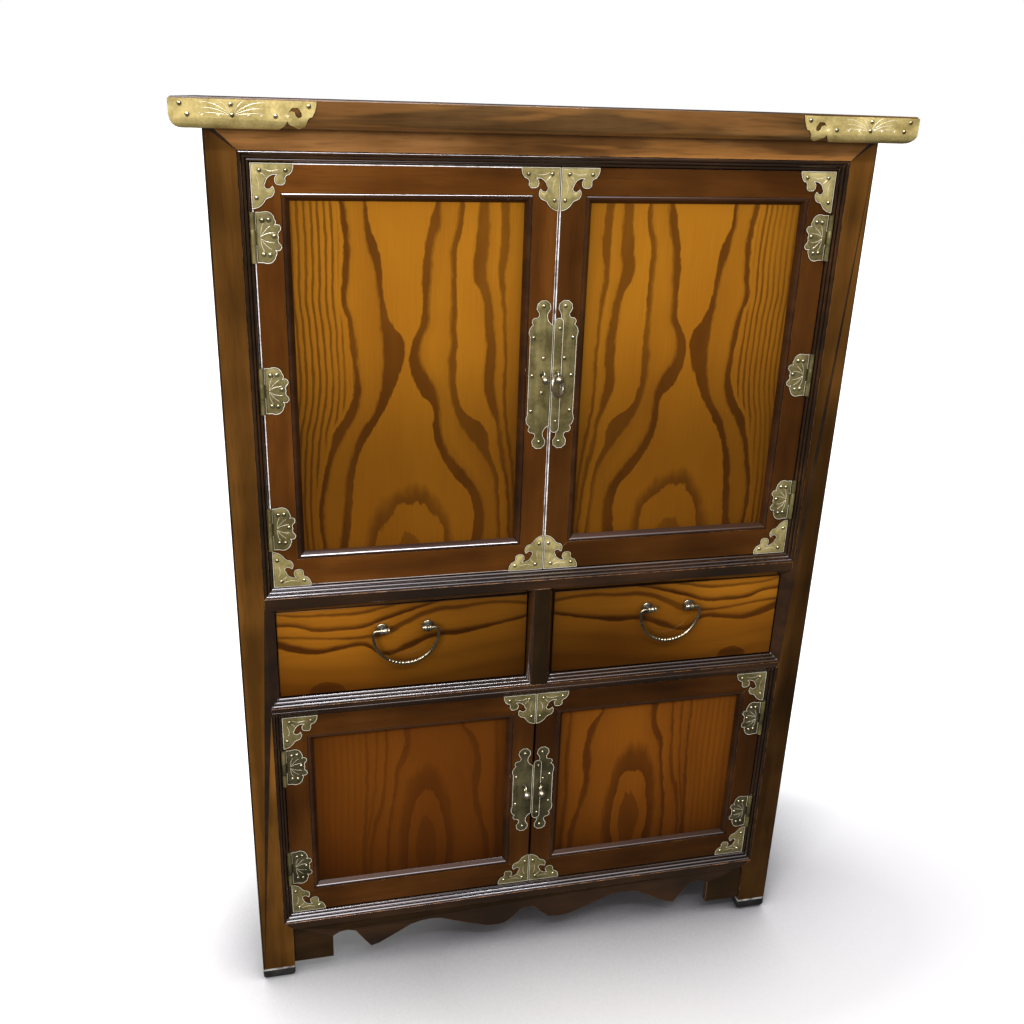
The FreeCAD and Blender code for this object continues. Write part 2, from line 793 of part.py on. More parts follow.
def knuckle_zs(z):
    """Heights at which one barrel's knuckles meet."""
    part = hinge_height / knuckle_count
    return [z - hinge_height / 2 + k * part for k in range(knuckle_count + 1)]


def knuckle(low, high, radius):
    return peg(radius, high - low, knuckle_sides, V(hinge_x, hinge_y, low), V(0, 0, 1))


def knuckle_room(low, high, radius):
    return bore(radius, high - low, knuckle_sides, V(hinge_x, hinge_y, low), V(0, 0, 1))


def hinge_door_leaf(z):
    """Scalloped leaf on a right-hand door, rolled into the middle knuckle."""
    upper = scaled(hinge_half_shares, hinge_leaf_width, hinge_height)
    start = (0, hinge_height / 2)
    outline = upper + retraced(start, upper, lambda u, w: (u, -w))
    face = face_through(start, outline, lambda u, w: V(hinge_x - u, plate_face_y, z + w), plate_chords)
    leaf = face.extrude(V(0, plate_thickness, 0))
    levels = knuckle_zs(z)
    clear_radius = knuckle_radius + knuckle_play
    leaf = leaf.cut([knuckle_room(levels[0] - overrun, levels[1] + knuckle_end_play, clear_radius),
                     knuckle_room(levels[2] - knuckle_end_play, levels[3] + overrun, clear_radius)])
    barrel = knuckle(levels[1] + knuckle_end_play, levels[2] - knuckle_end_play, knuckle_radius)
    pin_room = knuckle_room(levels[0], levels[-1], pin_radius + pin_play)
    return leaf.fuse(barrel).cut(pin_room).removeSplitter()


def hinge_frame_leaf(z):
    """Leaf in the gap beside the post, with the two outer knuckles and the pin that they hold."""
    half = hinge_height / 2
    leaf = block((opening_x - frame_leaf_thickness, opening_x),
                 (hinge_y, hinge_y + frame_leaf_depth), (z - half, z + half))
    levels = knuckle_zs(z)
    leaf = leaf.cut(knuckle_room(levels[1] - knuckle_end_play, levels[2] + knuckle_end_play,
                                 knuckle_radius + knuckle_play))
    barrels = [knuckle(levels[0], levels[1] - knuckle_end_play, knuckle_radius),
               knuckle(levels[2] + knuckle_end_play, levels[3], knuckle_radius)]
    pin = knuckle(levels[0], levels[3], pin_radius)
    return leaf.fuse(barrels + [pin]).removeSplitter()


def lock_plate(middle_z, height):
    """Lobed plate on a right-hand door, straight along the gap."""
    half = height / 2
    end = [tuple((u * lock_plate_width, half - w * lock_plate_width) for u, w in step)
           for step in lock_end_shares]
    start = (0, half - lock_gap_share * lock_plate_width)
    last_u, last_w = end[-1][-1]
    outline = end + [((last_u, -last_w),)] + retraced(start, end, lambda u, w: (u, -w))
    x = door_gap / 2
    face = face_through(start, outline, lambda u, w: V(x + u, plate_face_y, middle_z + w), lock_chords)
    return face.extrude(V(0, plate_thickness, 0))


def lock_strip(middle_z, height):
    """Round-ended strip on the right-hand plate, which covers part of the gap."""
    x = door_gap / 2 - lock_strip_gap_cover
    y = plate_face_y - lock_strip_thickness
    radius = lock_strip_width / 2
    half = height / 2 - lock_strip_shortfall - radius
    steps = [((lock_strip_width, half),), ((radius, half + radius), (0, half)), ((0, -half),),
             ((radius, -half - radius), (lock_strip_width, -half))]
    face = face_through((lock_strip_width, -half), steps, lambda u, w: V(x + u, y, middle_z + w),
                        lock_chords + lock_chords)
    return face.extrude(V(0, lock_strip_thickness, 0))


def eye_centre(z):
    return V(staple_offset, plate_face_y - eye_reach, z)


def staple_stem(eye):
    """Stem from the back of an eye's loop to the plate."""
    start = V(eye.x, eye.y + eye_hole_radius + eye_wire_radius, eye.z)
    return peg(staple_stem_radius, plate_face_y - start.y, stem_sides, start, V(0, 1, 0))


def staple(eye):
    """Eye staple with a ball end: its hole runs along X, for a bar lock."""
    loop = hoop(eye_hole_radius + eye_wire_radius, eye_wire_radius, eye_chords, eye_sides)
    loop.Placement = FreeCAD.Placement(eye, FreeCAD.Rotation(V(0, 1, 0), V(1, 0, 0)))
    turns = [math.pi * ((k + 1 / 2) / ball_levels - 1 / 2) for k in range(ball_levels)]
    profile = [(ball_radius * math.cos(turn), ball_radius * math.sin(turn)) for turn in turns]
    ball = turned(profile, ball_sides, V(eye.x, eye.y - ball_reach, eye.z), V(0, 1, 0))
    return loop.fuse([staple_stem(eye), ball]).removeSplitter()


def lock_ring(eye):
    """Ring that hangs in an eye, turned and leaning out so that it clears the plate."""
    ring = hoop(ring_radius, ring_wire_radius, ring_chords, wire_sides)
    turn = FreeCAD.Rotation(V(0, 0, 1), ring_turn_deg)
    lean = FreeCAD.Rotation(V(1, 0, 0), -ring_lean_deg)
    pose = FreeCAD.Placement(eye, lean.multiply(turn))
    ring.Placement = pose.multiply(FreeCAD.Placement(V(0, 0, -ring_radius), FreeCAD.Rotation()))
    return ring


def door(zs, hinges, lock_height, lock_rise, staple_rise):
    """All pieces of a right-hand door."""
    frame, panel = door_frame(zs)
    middle = (zs[0] + zs[1]) / 2 + lock_rise
    eye = eye_centre(middle + staple_rise)
    return {
        "frame": frame,
        "panel": panel,
        "corner_plates": corner_plates(zs),
        "hinge_leaves": Part.makeCompound([hinge_door_leaf(z) for z in hinges]),
        "plate": lock_plate(middle, lock_height),
        "strip": cut_all(lock_strip(middle, lock_height), [staple_stem(eye)]),
        "staple": staple(eye),
        "eye": eye,
    }


def drawer():
    """Front and box of the right-hand drawer."""
    xs = (divider_x + drawer_gap, opening_x - drawer_gap)
    zs = (drawer_sill_z + drawer_gap, drawer_head_z - drawer_gap)
    back_of_front = drawer_face_y + drawer_front_thickness
    front = block(xs, (drawer_face_y, back_of_front), zs)
    arrises = [edge for edge in front.Edges if edge.BoundBox.YMax < drawer_face_y + closing_tolerance]
    front = front.makeChamfer(drawer_arris, arrises)
    side_y = (back_of_front - drawer_side_lap, back_post_front_y - drawer_back_gap)
    side_z = (drawer_sill_z + drawer_running_gap, zs[1] - drawer_side_drop)
    side_xs = [(xs[0] + drawer_side_inset, xs[0] + drawer_side_inset + drawer_side_thickness),
               (xs[1] - drawer_side_inset - drawer_side_thickness, xs[1] - drawer_side_inset)]
    within = (side_xs[0][1], side_xs[1][0])
    bottom_z = (side_z[0] + drawer_bottom_rise, side_z[0] + drawer_bottom_rise + drawer_bottom_thickness)
    back_wall_y = (side_y[1] - drawer_back_thickness, side_y[1])
    bottom = block((within[0] - drawer_bottom_groove, within[1] + drawer_bottom_groove),
                   (back_of_front - drawer_bottom_groove, side_y[1]), bottom_z)
    back_wall = block(within, back_wall_y, (bottom_z[1], side_z[1]))
    sides = [block(side_x, side_y, side_z) for side_x in side_xs]
    front = front.cut(sides + [bottom])
    sides = [side.cut(bottom) for side in sides]
    return front, Part.makeCompound(sides + [back_wall, bottom])


def bail_place():
    """Middle of the right-hand bail's pivot line."""
    middle_x = (divider_x + opening_x) / 2
    middle_z = (drawer_sill_z + drawer_head_z) / 2 + bail_rise
    return V(middle_x, drawer_face_y - bail_reach, middle_z)


def bail_post():
    """Post on the right-hand side of a bail: domed rosette, stem and a collared barrel with a bore."""
    foot = V(rosette_stem_x, bail_reach, 0)
    forward = V(0, -1, 0)
    along = V(1, 0, 0)
    rosette = turned(((rosette_radius, 0), (rosette_radius, rosette_rim),
                      (rosette_stem_radius, rosette_rim + rosette_rise)), rosette_sides, foot, forward)
    stem = peg(rosette_stem_radius, bail_reach, stem_sides, foot, forward)
    length = barrel_end - barrel_start
    barrel = turned(((barrel_collar_radius, 0), (barrel_collar_radius, barrel_collar_width),
                     (barrel_radius, barrel_collar_width), (barrel_radius, length - barrel_collar_width),
                     (barrel_collar_radius, length - barrel_collar_width), (barrel_collar_radius, length)),
                    barrel_sides, V(barrel_start, 0, 0), along)
    pin_room = bore(bail_wire_radius + barrel_bore_play, barrel_end, wire_sides,
                    V(bail_pin_end - barrel_end_play, 0, 0), along)
    return rosette.fuse([stem, barrel]).cut(pin_room).removeSplitter()


def bail():
    """C-shaped bail about its pivot line: a bow that swells at its foot and turns in to two pins."""
    corner_x = math.sqrt((bail_bow_radius - bail_corner_radius) ** 2
                         - (bail_corner_radius - bail_bow_drop) ** 2)
    meeting = math.atan2(corner_x, bail_bow_drop - bail_corner_radius)
    corner = V(corner_x, 0, -bail_corner_radius)
    middle = V(0, 0, -bail_bow_drop)
    swell_angle = math.radians(bail_belly_half_angle_deg)
    stations = [(V(bail_pin_end, 0, 0), 0, 0)]
    for k in range(bail_corner_chords):
        stations.append((corner, bail_corner_radius, meeting * k / bail_corner_chords))
    for k in range(bail_bow_chords + 1):
        stations.append((middle, bail_bow_radius, meeting + (math.pi - meeting) * k / bail_bow_chords))
    rings = []
    for side, order in ((1, stations), (-1, stations[-2::-1])):
        for centre, radius, turn in order:
            across = V(side * math.sin(turn), 0, math.cos(turn))
            swell = math.cos(math.pi / 2 * min(1, (math.pi - turn) / swell_angle))
            thickness = bail_wire_radius + (bail_belly_radius - bail_wire_radius) * swell
            place = V(side * centre.x, 0, centre.z) + across * radius
            rings.append(section(place, across, V(0, 1, 0), thickness, wire_sides))
    return skin(rings, False)


def drawer_guides():
    """Three guides on the deck that keep the drawers in line."""
    outer_x = opening_x - drawer_gap - drawer_side_inset + guide_play
    inner_x = divider_x + drawer_gap + drawer_side_inset - guide_play
    zs = (drawer_sill_z, drawer_sill_z + guide_height)
    side_ys = (front_post_back_y, back_post_front_y)
    middle_ys = (rail_y[1], back_rail_y[0])
    outer = block((outer_x, side_in_x), side_ys, zs)
    return Part.makeCompound([outer, mirrored(outer), block((-inner_x, inner_x), middle_ys, zs)])


nodes = {}


def both_sides(name, shape):
    """Node of a right-hand piece, and the node of its mirror image."""
    nodes[name.format("right")] = shape
    nodes[name.format("left")] = mirrored(shape)


both_sides("front_post_{}", front_post)
both_sides("back_post_{}", back_post)
nodes["top_board"] = top_board
nodes["top_rail"] = finished_front_rail(top_rail)
nodes["upper_drawer_rail"] = finished_front_rail(upper_drawer_rail)
nodes["lower_drawer_rail"] = finished_front_rail(lower_drawer_rail)
nodes["bottom_rail"] = finished_front_rail(bottom_rail)
nodes["front_apron"] = front_apron()
nodes["drawer_divider"] = cut_all(drawer_divider,
                                  [boards["drawer_deck"]] + right_drawer_voids + left_drawer_voids)
both_sides("side_rails_{}", Part.makeCompound(side_rails))
both_sides("side_panels_{}", Part.makeCompound(side_panels))
nodes["side_aprons"] = Part.makeCompound([side_apron(), mirrored(side_apron())])
nodes["back_rails"] = Part.makeCompound(back_rails)
nodes["back_panels"] = Part.makeCompound(back_panels)
nodes.update(boards)
nodes["drawer_guides"] = drawer_guides()
nodes["foot_pads"] = foot_pads()
both_sides("top_cap_{}", top_cap())
frame_hinges = [hinge_frame_leaf(z) for z in upper_hinges + lower_hinges]
nodes["frame_hinges"] = Part.makeCompound(frame_hinges + [mirrored(one) for one in frame_hinges])

tiers = {
    "upper": door(upper_door_z, upper_hinges, upper_lock_height, upper_lock_rise, upper_staple_rise),
    "lower": door(lower_door_z, lower_hinges, lower_lock_height, lower_lock_rise, lower_staple_rise),
}
for tier, pieces in tiers.items():
    both_sides(tier + "_{}_door_frame", pieces["frame"])
    both_sides(tier + "_{}_door_panel", pieces["panel"])
    both_sides(tier + "_{}_corner_plates", pieces["corner_plates"])
    both_sides(tier + "_{}_hinge_leaves", pieces["hinge_leaves"])
    lock = [pieces["plate"], pieces["staple"]]
    nodes[tier + "_right_lock"] = Part.makeCompound(lock + [pieces["strip"]])
    nodes[tier + "_left_lock"] = Part.makeCompound([mirrored(piece) for piece in lock])

nodes["lock_ring"] = lock_ring(tiers["upper"]["eye"])

drawer_front, drawer_box = drawer()
pivot = bail_place()
posts = [bail_post(), mirrored(bail_post())]
both_sides("{}_drawer_front", drawer_front)
both_sides("{}_drawer_box", drawer_box)
both_sides("{}_bail_posts", Part.makeCompound([moved(post, pivot.x, pivot.y, pivot.z) for post in posts]))
both_sides("{}_bail", moved(bail(), pivot.x, pivot.y, pivot.z))

os.makedirs("parts", exist_ok=True)
for name, shape in nodes.items():
    if not shape.isValid():
        print("not valid:", name)
    shape.exportStep("parts/" + name + ".step")
print(len(nodes), "nodes")
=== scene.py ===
import json
import math

import bmesh
import bpy
from mathutils import Matrix, Vector


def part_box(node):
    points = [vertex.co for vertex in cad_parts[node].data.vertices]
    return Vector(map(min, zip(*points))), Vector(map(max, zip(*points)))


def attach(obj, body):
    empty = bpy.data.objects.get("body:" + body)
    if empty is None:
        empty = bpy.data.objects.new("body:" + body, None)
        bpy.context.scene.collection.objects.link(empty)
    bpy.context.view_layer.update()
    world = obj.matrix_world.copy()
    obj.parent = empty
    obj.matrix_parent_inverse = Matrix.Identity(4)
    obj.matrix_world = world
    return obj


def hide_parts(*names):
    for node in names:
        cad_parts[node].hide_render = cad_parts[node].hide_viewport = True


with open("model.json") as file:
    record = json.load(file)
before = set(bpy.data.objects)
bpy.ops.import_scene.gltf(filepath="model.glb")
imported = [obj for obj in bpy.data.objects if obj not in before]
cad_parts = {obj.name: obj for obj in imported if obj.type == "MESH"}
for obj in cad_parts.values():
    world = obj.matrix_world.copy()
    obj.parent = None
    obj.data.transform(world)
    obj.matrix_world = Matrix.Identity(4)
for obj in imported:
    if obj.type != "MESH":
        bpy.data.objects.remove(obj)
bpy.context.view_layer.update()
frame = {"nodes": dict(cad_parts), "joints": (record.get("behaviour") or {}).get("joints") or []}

nodes = frame["nodes"]
joints = {joint["name"]: joint for joint in frame["joints"]}
scene = bpy.context.scene
MM = 0.001

# Sizes of the fittings, in millimetres and in shares, as in the part's source
plate_size = (50.0, 53.0)
corner_steps = (
    ((1.0, 0.0),),
    ((0.99, 0.12), (0.9, 0.25)),
    ((0.84, 0.27), (0.8, 0.33)),
    ((0.76, 0.46), (0.66, 0.47)),
    ((0.61, 0.465), (0.565, 0.43)),
    ((0.545, 0.35), (0.6, 0.25)),
    ((0.43, 0.29), (0.34, 0.42)),
    ((0.345, 0.54), (0.44, 0.54)),
    ((0.5, 0.49),),
    ((0.54, 0.62), (0.45, 0.74)),
    ((0.38, 0.76), (0.32, 0.8)),
    ((0.22, 0.92), (0.0, 1.0)),
)
corner_nails = ((0.21, 0.155), (0.82, 0.155), (0.12, 0.755))
leaf_size = (32.0, 60.0)
leaf_half_steps = (
    ((0.34, 0.5),),
    ((0.64, 0.5), (0.82, 0.36)),
    ((0.86, 0.31), (0.83, 0.26)),
    ((0.98, 0.25), (1.0, 0.13)),
    ((0.93, 0.08), (0.95, 0.0)),
)
leaf_nails = ((0.36, 0.34), (0.6, 0.35), (0.78, 0.03), (0.36, -0.33), (0.6, -0.34))
hinge_offset = 86.0
knuckle_radius = 3.0
knuckle_gap = 0.15
knuckle_clearance = 0.4
lock_width = 31.5
lock_end_steps = (
    ((0.15, 0.96), (0.25, 0.56)),
    ((0.435, 0.0), (0.64, 0.56)),
    ((0.68, 0.71), (0.79, 0.74)),
    ((0.9, 0.8), (0.88, 1.03)),
    ((0.98, 1.13), (1.0, 1.55)),
)
# Half heights of the lock plates
lock_reach = {"upper": 102.5, "lower": 78.5}
lock_gap_share = 1.05
upper_lock_nails = ((0.44, 0.92), (0.83, 0.51), (0.84, 0.01), (0.84, -0.47), (0.42, -0.9))
lower_lock_nails = ((0.42, 0.87), (0.83, 0.33), (0.83, -0.32), (0.42, -0.88))
upper_left_nails = ((0.37, 0.24), (0.4, -0.22))
right_nails = ((0.5, 0.24),)
strip_nails = ((0.62, 0.82), (0.62, -0.8))
strip_size = (12.4, 1.5)
strip_shortfall = 23.5
strip_start = 0.3
plate_thickness = 1.2
plate_rim = 0.3
plate_border = (0.8, 0.6, 0.15)
washer_radius = 3.4
strip_nail_size = 0.85

# Eyes and ring: the right-hand eyes sit nearer the gap, as in the photograph
right_eye_shift = {"upper": 8.0, "lower": 3.0}
lower_eye_rise = 8.0
ball_drop = 4.0
eye_radius = 5.6
eye_wire = 1.3
ball_radius = 5.4
ball_reach = 10.2
ring_radius = 14.0
ring_wire = 2.4
ring_turn = 45.0
ring_lean = 18.0

# Bails, their bows with ribs near the feet, and their posts
bow_radius = 46.8
bow_drop = 7.6
bow_corner = 6.0
bow_wire = 2.1
bow_belly = 3.2
bow_swell_turn = 42.0
bow_rib_depth = 0.24
bow_rib_pitch = 5.2
bow_rib_end = 0.86
rosette_drop = 3.0
bow_pin = 27.5
post_x = 33.0
post_reach = 11.0
barrel_span = (23.5, 36.0)

# Caps of the top board, nails and engraved strokes
cap_front = 160.0
cap_side = 95.0
cap_side_start = 1.2
cap_over_top = 2.0
cap_bevel = 0.35
cap_arris = 60.0
cap_nail_rows = ((7.5, (0.078, 0.42, 0.953)), (18.5, (0.125, 0.425, 0.72)))
cap_side_nails = (0.2, 0.7)
# Spray of strokes: its share of the cap's front, its drop and its flatness
cap_spray = (0.425, 18.5, 0.8)
cap_ticks = (0.22, 0.33, 0.53, 0.62, 0.8)
tick_leans = (-2.6, 0.0, 2.6)
tick_drops = (19.5, 15.5)
nail_radius = 2.7
nail_height = 1.8
corner_strokes = (((6, 14), (9, 22), (8, 31)), ((14, 6), (24, 9), (33, 7)), ((10, 10), (15, 13), (18, 17)))
leaf_strokes = (((9, 1), (14, 8), (21, 14)), ((9, 1), (17, 5), (25, 6)), ((9, 1), (10, 10), (14, 19)))
cap_strokes = (((3, 0), (14, -6), (34, -9)), ((3, -1), (16, -12), (36, -17)),
               ((2, -2), (7, -12), (14, -19)), ((4, 0), (18, -2), (30, -3)))

# Pads, arrises and mouldings, with angles in degrees
pad_rim_height = 3.5
pad_edge = 2.5
case_ease = 0.5
door_ease = 0.4
painted_rim_width = 1.3
square_arris = 75.0
eased_arris = 52.0
smooth_wood = 49.0
pad_arris = 30.0
moulding_width = 7.5
cove_tilt = 42.0

# In metres: the height over which painted light is given, how far the floor's painted shadow reaches, and the
# dark part of the floor round the chest's foot, where it does not glow: painted shadow. The sky window's light
# and the room's own are strengths
painted_light_height = 1.4
painted_floor_shadow = 0.3
painted_shadow_centre = (0.25, -0.25)
painted_shadow_radii = (0.95, 0.42)
window_light = (9.0, 8.8, 9.2)
room_light = (0.04, 0.04, 0.04)

# The photograph's camera, as fitted: lens in sensor widths, shift, place and directions
sensor_width = 36.0
lens_share = 1014.32 / 1024
lens_shift = (0.01073, -0.02028)
camera_place = (-0.36096, -1.46967, 1.316)
camera_forward = (0.21019, 0.90949, -0.35867)
camera_right = (0.97629, -0.2147, 0.02771)


class Nodes:
    """A node tree, with short ways to add nodes to it."""

    def __init__(self, tree, place):
        self.tree = tree
        self.place = tree.nodes.new("ShaderNodeTexCoord").outputs[place]

    def add(self, kind, inputs, **settings):
        node = self.tree.nodes.new("ShaderNode" + kind)
        for key, value in settings.items():
            setattr(node, key, value)
        for key, value in inputs.items():
            self.give(node.inputs[key], value)
        return node

    def give(self, socket, value):
        """Link a socket, or set it; a colour comes as three numbers."""
        if isinstance(value, bpy.types.NodeSocket):
            self.tree.links.new(value, socket)
        elif isinstance(value, tuple) and socket.type == "RGBA":
            socket.default_value = value + (1.0,)
        else:
            socket.default_value = value

    def math(self, operation, first, second=0.0, third=0.0, clamp=False):
        inputs = {0: first, 1: second, 2: third}
        return self.add("Math", inputs, operation=operation, use_clamp=clamp).outputs[0]

    def times(self, first, second):
        return self.math("MULTIPLY", first, second)

    def madd(self, first, second, third, clamp=False):
        """first * second + third"""
        return self.math("MULTIPLY_ADD", first, second, third, clamp)

    def vec(self, operation, first, second=(0, 0, 0), third=(0, 0, 0)):
        node = self.add("VectorMath", {0: first, 1: second, 2: third}, operation=operation)
        return node.outputs["Value" if operation == "DOT_PRODUCT" else "Vector"]

    def stretched(self, scale, offset=(0, 0, 0)):
        return self.vec("MULTIPLY_ADD", self.place, scale, offset)

    def split(self, vector=None):
        return self.add("SeparateXYZ", {0: vector or self.place}).outputs[:3]

    def joined(self, x, y, z):
        return self.add("CombineXYZ", {0: x, 1: y, 2: z}).outputs[0]

    def tripled(self, value):
        return self.joined(value, value, value)

    def noise(self, vector, scale, detail=3.0, roughness=0.5, distortion=0.0):
        return self.add("TexNoise", {"Vector": vector, "Scale": scale, "Detail": detail,
                                     "Roughness": roughness, "Distortion": distortion}).outputs["Fac"]

    def ramp(self, value, stops):
        """Colours or plain shares at places along a value."""
        node = self.add("ValToRGB", {"Fac": value})
        elements = node.color_ramp.elements
        for k, (at, shade) in enumerate(stops):
            element = elements[k] if k < 2 else elements.new(at)
            element.position = at
            element.color = (shade if isinstance(shade, tuple) else (shade,) * 3) + (1.0,)
        return node.outputs["Color"]

    def mix(self, factor, first, second, blend="MIX"):
        inputs = {0: factor, 6: first, 7: second}
        return self.add("Mix", inputs, data_type="RGBA", blend_type=blend).outputs[2]

    def curves(self, value, lines):
        """Three curves of one value, as the three parts of a vector."""
        node = self.add("RGBCurve", {"Fac": 1.0, "Color": self.tripled(value)})
        node.mapping.extend = "HORIZONTAL"
        self.draw(node.mapping, lines)
        return node.outputs["Color"]

    def curve(self, value, points):
        node = self.add("FloatCurve", {"Factor": 1.0, "Value": value})
        self.draw(node.mapping, [points])
        return node.outputs[0]

    def draw(self, mapping, lines):
        for line, points in zip(mapping.curves, lines):
            for k, (x, y) in enumerate(points):
                if k < 2:
                    line.points[k].location = (x, y)
                else:
                    line.points.new(x, y)
        mapping.update()

    def openness(self, reach):
        """Share of the surroundings that is open within reach, in metres."""
        return self.add("AmbientOcclusion", {"Distance": reach}, samples=6).outputs["AO"]


class Shade(Nodes):
    """A material, with its shader and the finishes that several materials share."""

    def __init__(self, name):
        self.material = bpy.data.materials.new(name)
        self.material.use_nodes = True
        super().__init__(self.material.node_tree, "Object")
        self.shader = self.tree.nodes["Principled BSDF"]

    def grime_and_shade(self, colour, reach, amount):
        """Darkening in grooves and round fittings, where the surroundings close in: dirt and old polish, and
        painted shade.
        """
        grime_and_shade_share = self.ramp(self.openness(reach), ((0.42, amount), (0.86, 0.0)))
        return self.mix(grime_and_shade_share, colour, (0.006, 0.0035, 0.002))

    def bump(self, height, distance, strength):
        inputs = {"Height": height, "Distance": distance, "Strength": strength}
        self.give(self.shader.inputs["Normal"], self.add("Bump", inputs).outputs["Normal"])

    def surface(self, **sockets):
        for key, value in sockets.items():
            self.give(self.shader.inputs[key.replace("_", " ")], value)
        return self.material


def lacquer(name, grain, dark, middle, light, tone_shift=0.0, painted_light_by_height=None, coat=0.8, shine=1.5):
    """Dark glossy lacquer over long grain: grain is 0, 1 or 2 for x, y or z.

    Shares of the colour at heights in metres make painted light and shade, lighter or darker by height, and
    shine is the coat's index.
    """
    shade = Shade(name)
    scale = [1.0, 1.0, 1.0]
    scale[grain] = 0.08
    along = shade.stretched(tuple(scale))
    scale[grain] = 0.25
    slower = shade.stretched(tuple(scale), (3.1, 1.7, 0.6))
    streaks = shade.noise(along, 52.0, 2.0, 0.45, 0.2)
    bands = shade.noise(slower, 15.0, 2.0, 0.5, 0.4)
    fine = shade.noise(along, 360.0, 2.0, 0.5)
    patches = shade.noise(shade.place, 6.0, 3.0, 0.5)
    tone = shade.madd(streaks, 0.3, shade.times(bands, 0.45))
    tone = shade.madd(patches, 0.6, shade.madd(fine, 0.06, tone))
    colour = shade.ramp(tone, ((0.54, dark), (0.7, middle), (0.87, light)))
    if tone_shift:
        rubbed = shade.ramp(shade.noise(along, 34.0, 3.0, 0.5, 0.3), ((0.54, 0.0), (0.6, tone_shift)))
        colour = shade.mix(rubbed, colour, (0.4, 0.175, 0.045))
    colour = shade.mix(shade.ramp(fine, ((0.3, 0.25), (0.46, 0.0))), colour, dark)
    if painted_light_by_height:
        height = shade.times(shade.split()[2], 1 / painted_light_height)
        level = shade.curve(height, [(z / painted_light_height, share) for z, share in painted_light_by_height])
        colour = shade.mix(1.0, colour, shade.tripled(level), "MULTIPLY")
    # Darker in grooves and round fittings: dirt, and painted shade
    colour = shade.grime_and_shade(colour, 0.012, 0.95)
    shade.bump(shade.madd(fine, 0.3, shade.times(streaks, 0.7)), 0.00012, 0.5)
    return shade.surface(Base_Color=colour, Roughness=shade.ramp(patches, ((0.3, 0.3), (0.7, 0.42))),
                         Specular_IOR_Level=0.1, Coat_Weight=coat, Coat_IOR=shine, Coat_Roughness=0.05)


def wear_and_highlight_edge(name, colour, base, start=0.42):
    """Arris with a second colour here and there, such as rubbed-through lacquer; with near-white colours it is
    a painted highlight.
    """
    shade = Shade(name)
    rub = shade.noise(shade.place, 46.0, 3.0, 0.6)
    tint = shade.noise(shade.place, 300.0, 2.0, 0.5)
    tone = shade.mix(shade.ramp(rub, ((start, 0.0), (start + 0.2, 1.0))), base, colour)
    tone = shade.mix(shade.ramp(tint, ((0.35, 0.4), (0.6, 0.0))), tone, base)
    shade.bump(tint, 0.0001, 0.4)
    return shade.surface(Base_Color=tone, Roughness=shade.ramp(rub, ((0.3, 0.22), (0.7, 0.36))),
                         Coat_Weight=0.6, Coat_Roughness=0.08)


def plain_wood(name, light, dark):
    """Pale inner wood with fine long grain and a dull surface."""
    shade = Shade(name)
    along = shade.stretched((0.06, 1.0, 1.0))
    grain = shade.noise(along, 120.0, 4.0, 0.6, 0.7)
    broad = shade.noise(along, 22.0, 2.0, 0.5, 1.2)
    colour = shade.ramp(shade.madd(grain, 0.6, shade.times(broad, 0.5)), ((0.35, dark), (0.7, light)))
    shade.bump(grain, 0.0003, 0.6)
    return shade.surface(Base_Color=colour, Roughness=shade.ramp(broad, ((0.3, 0.55), (0.7, 0.75))))


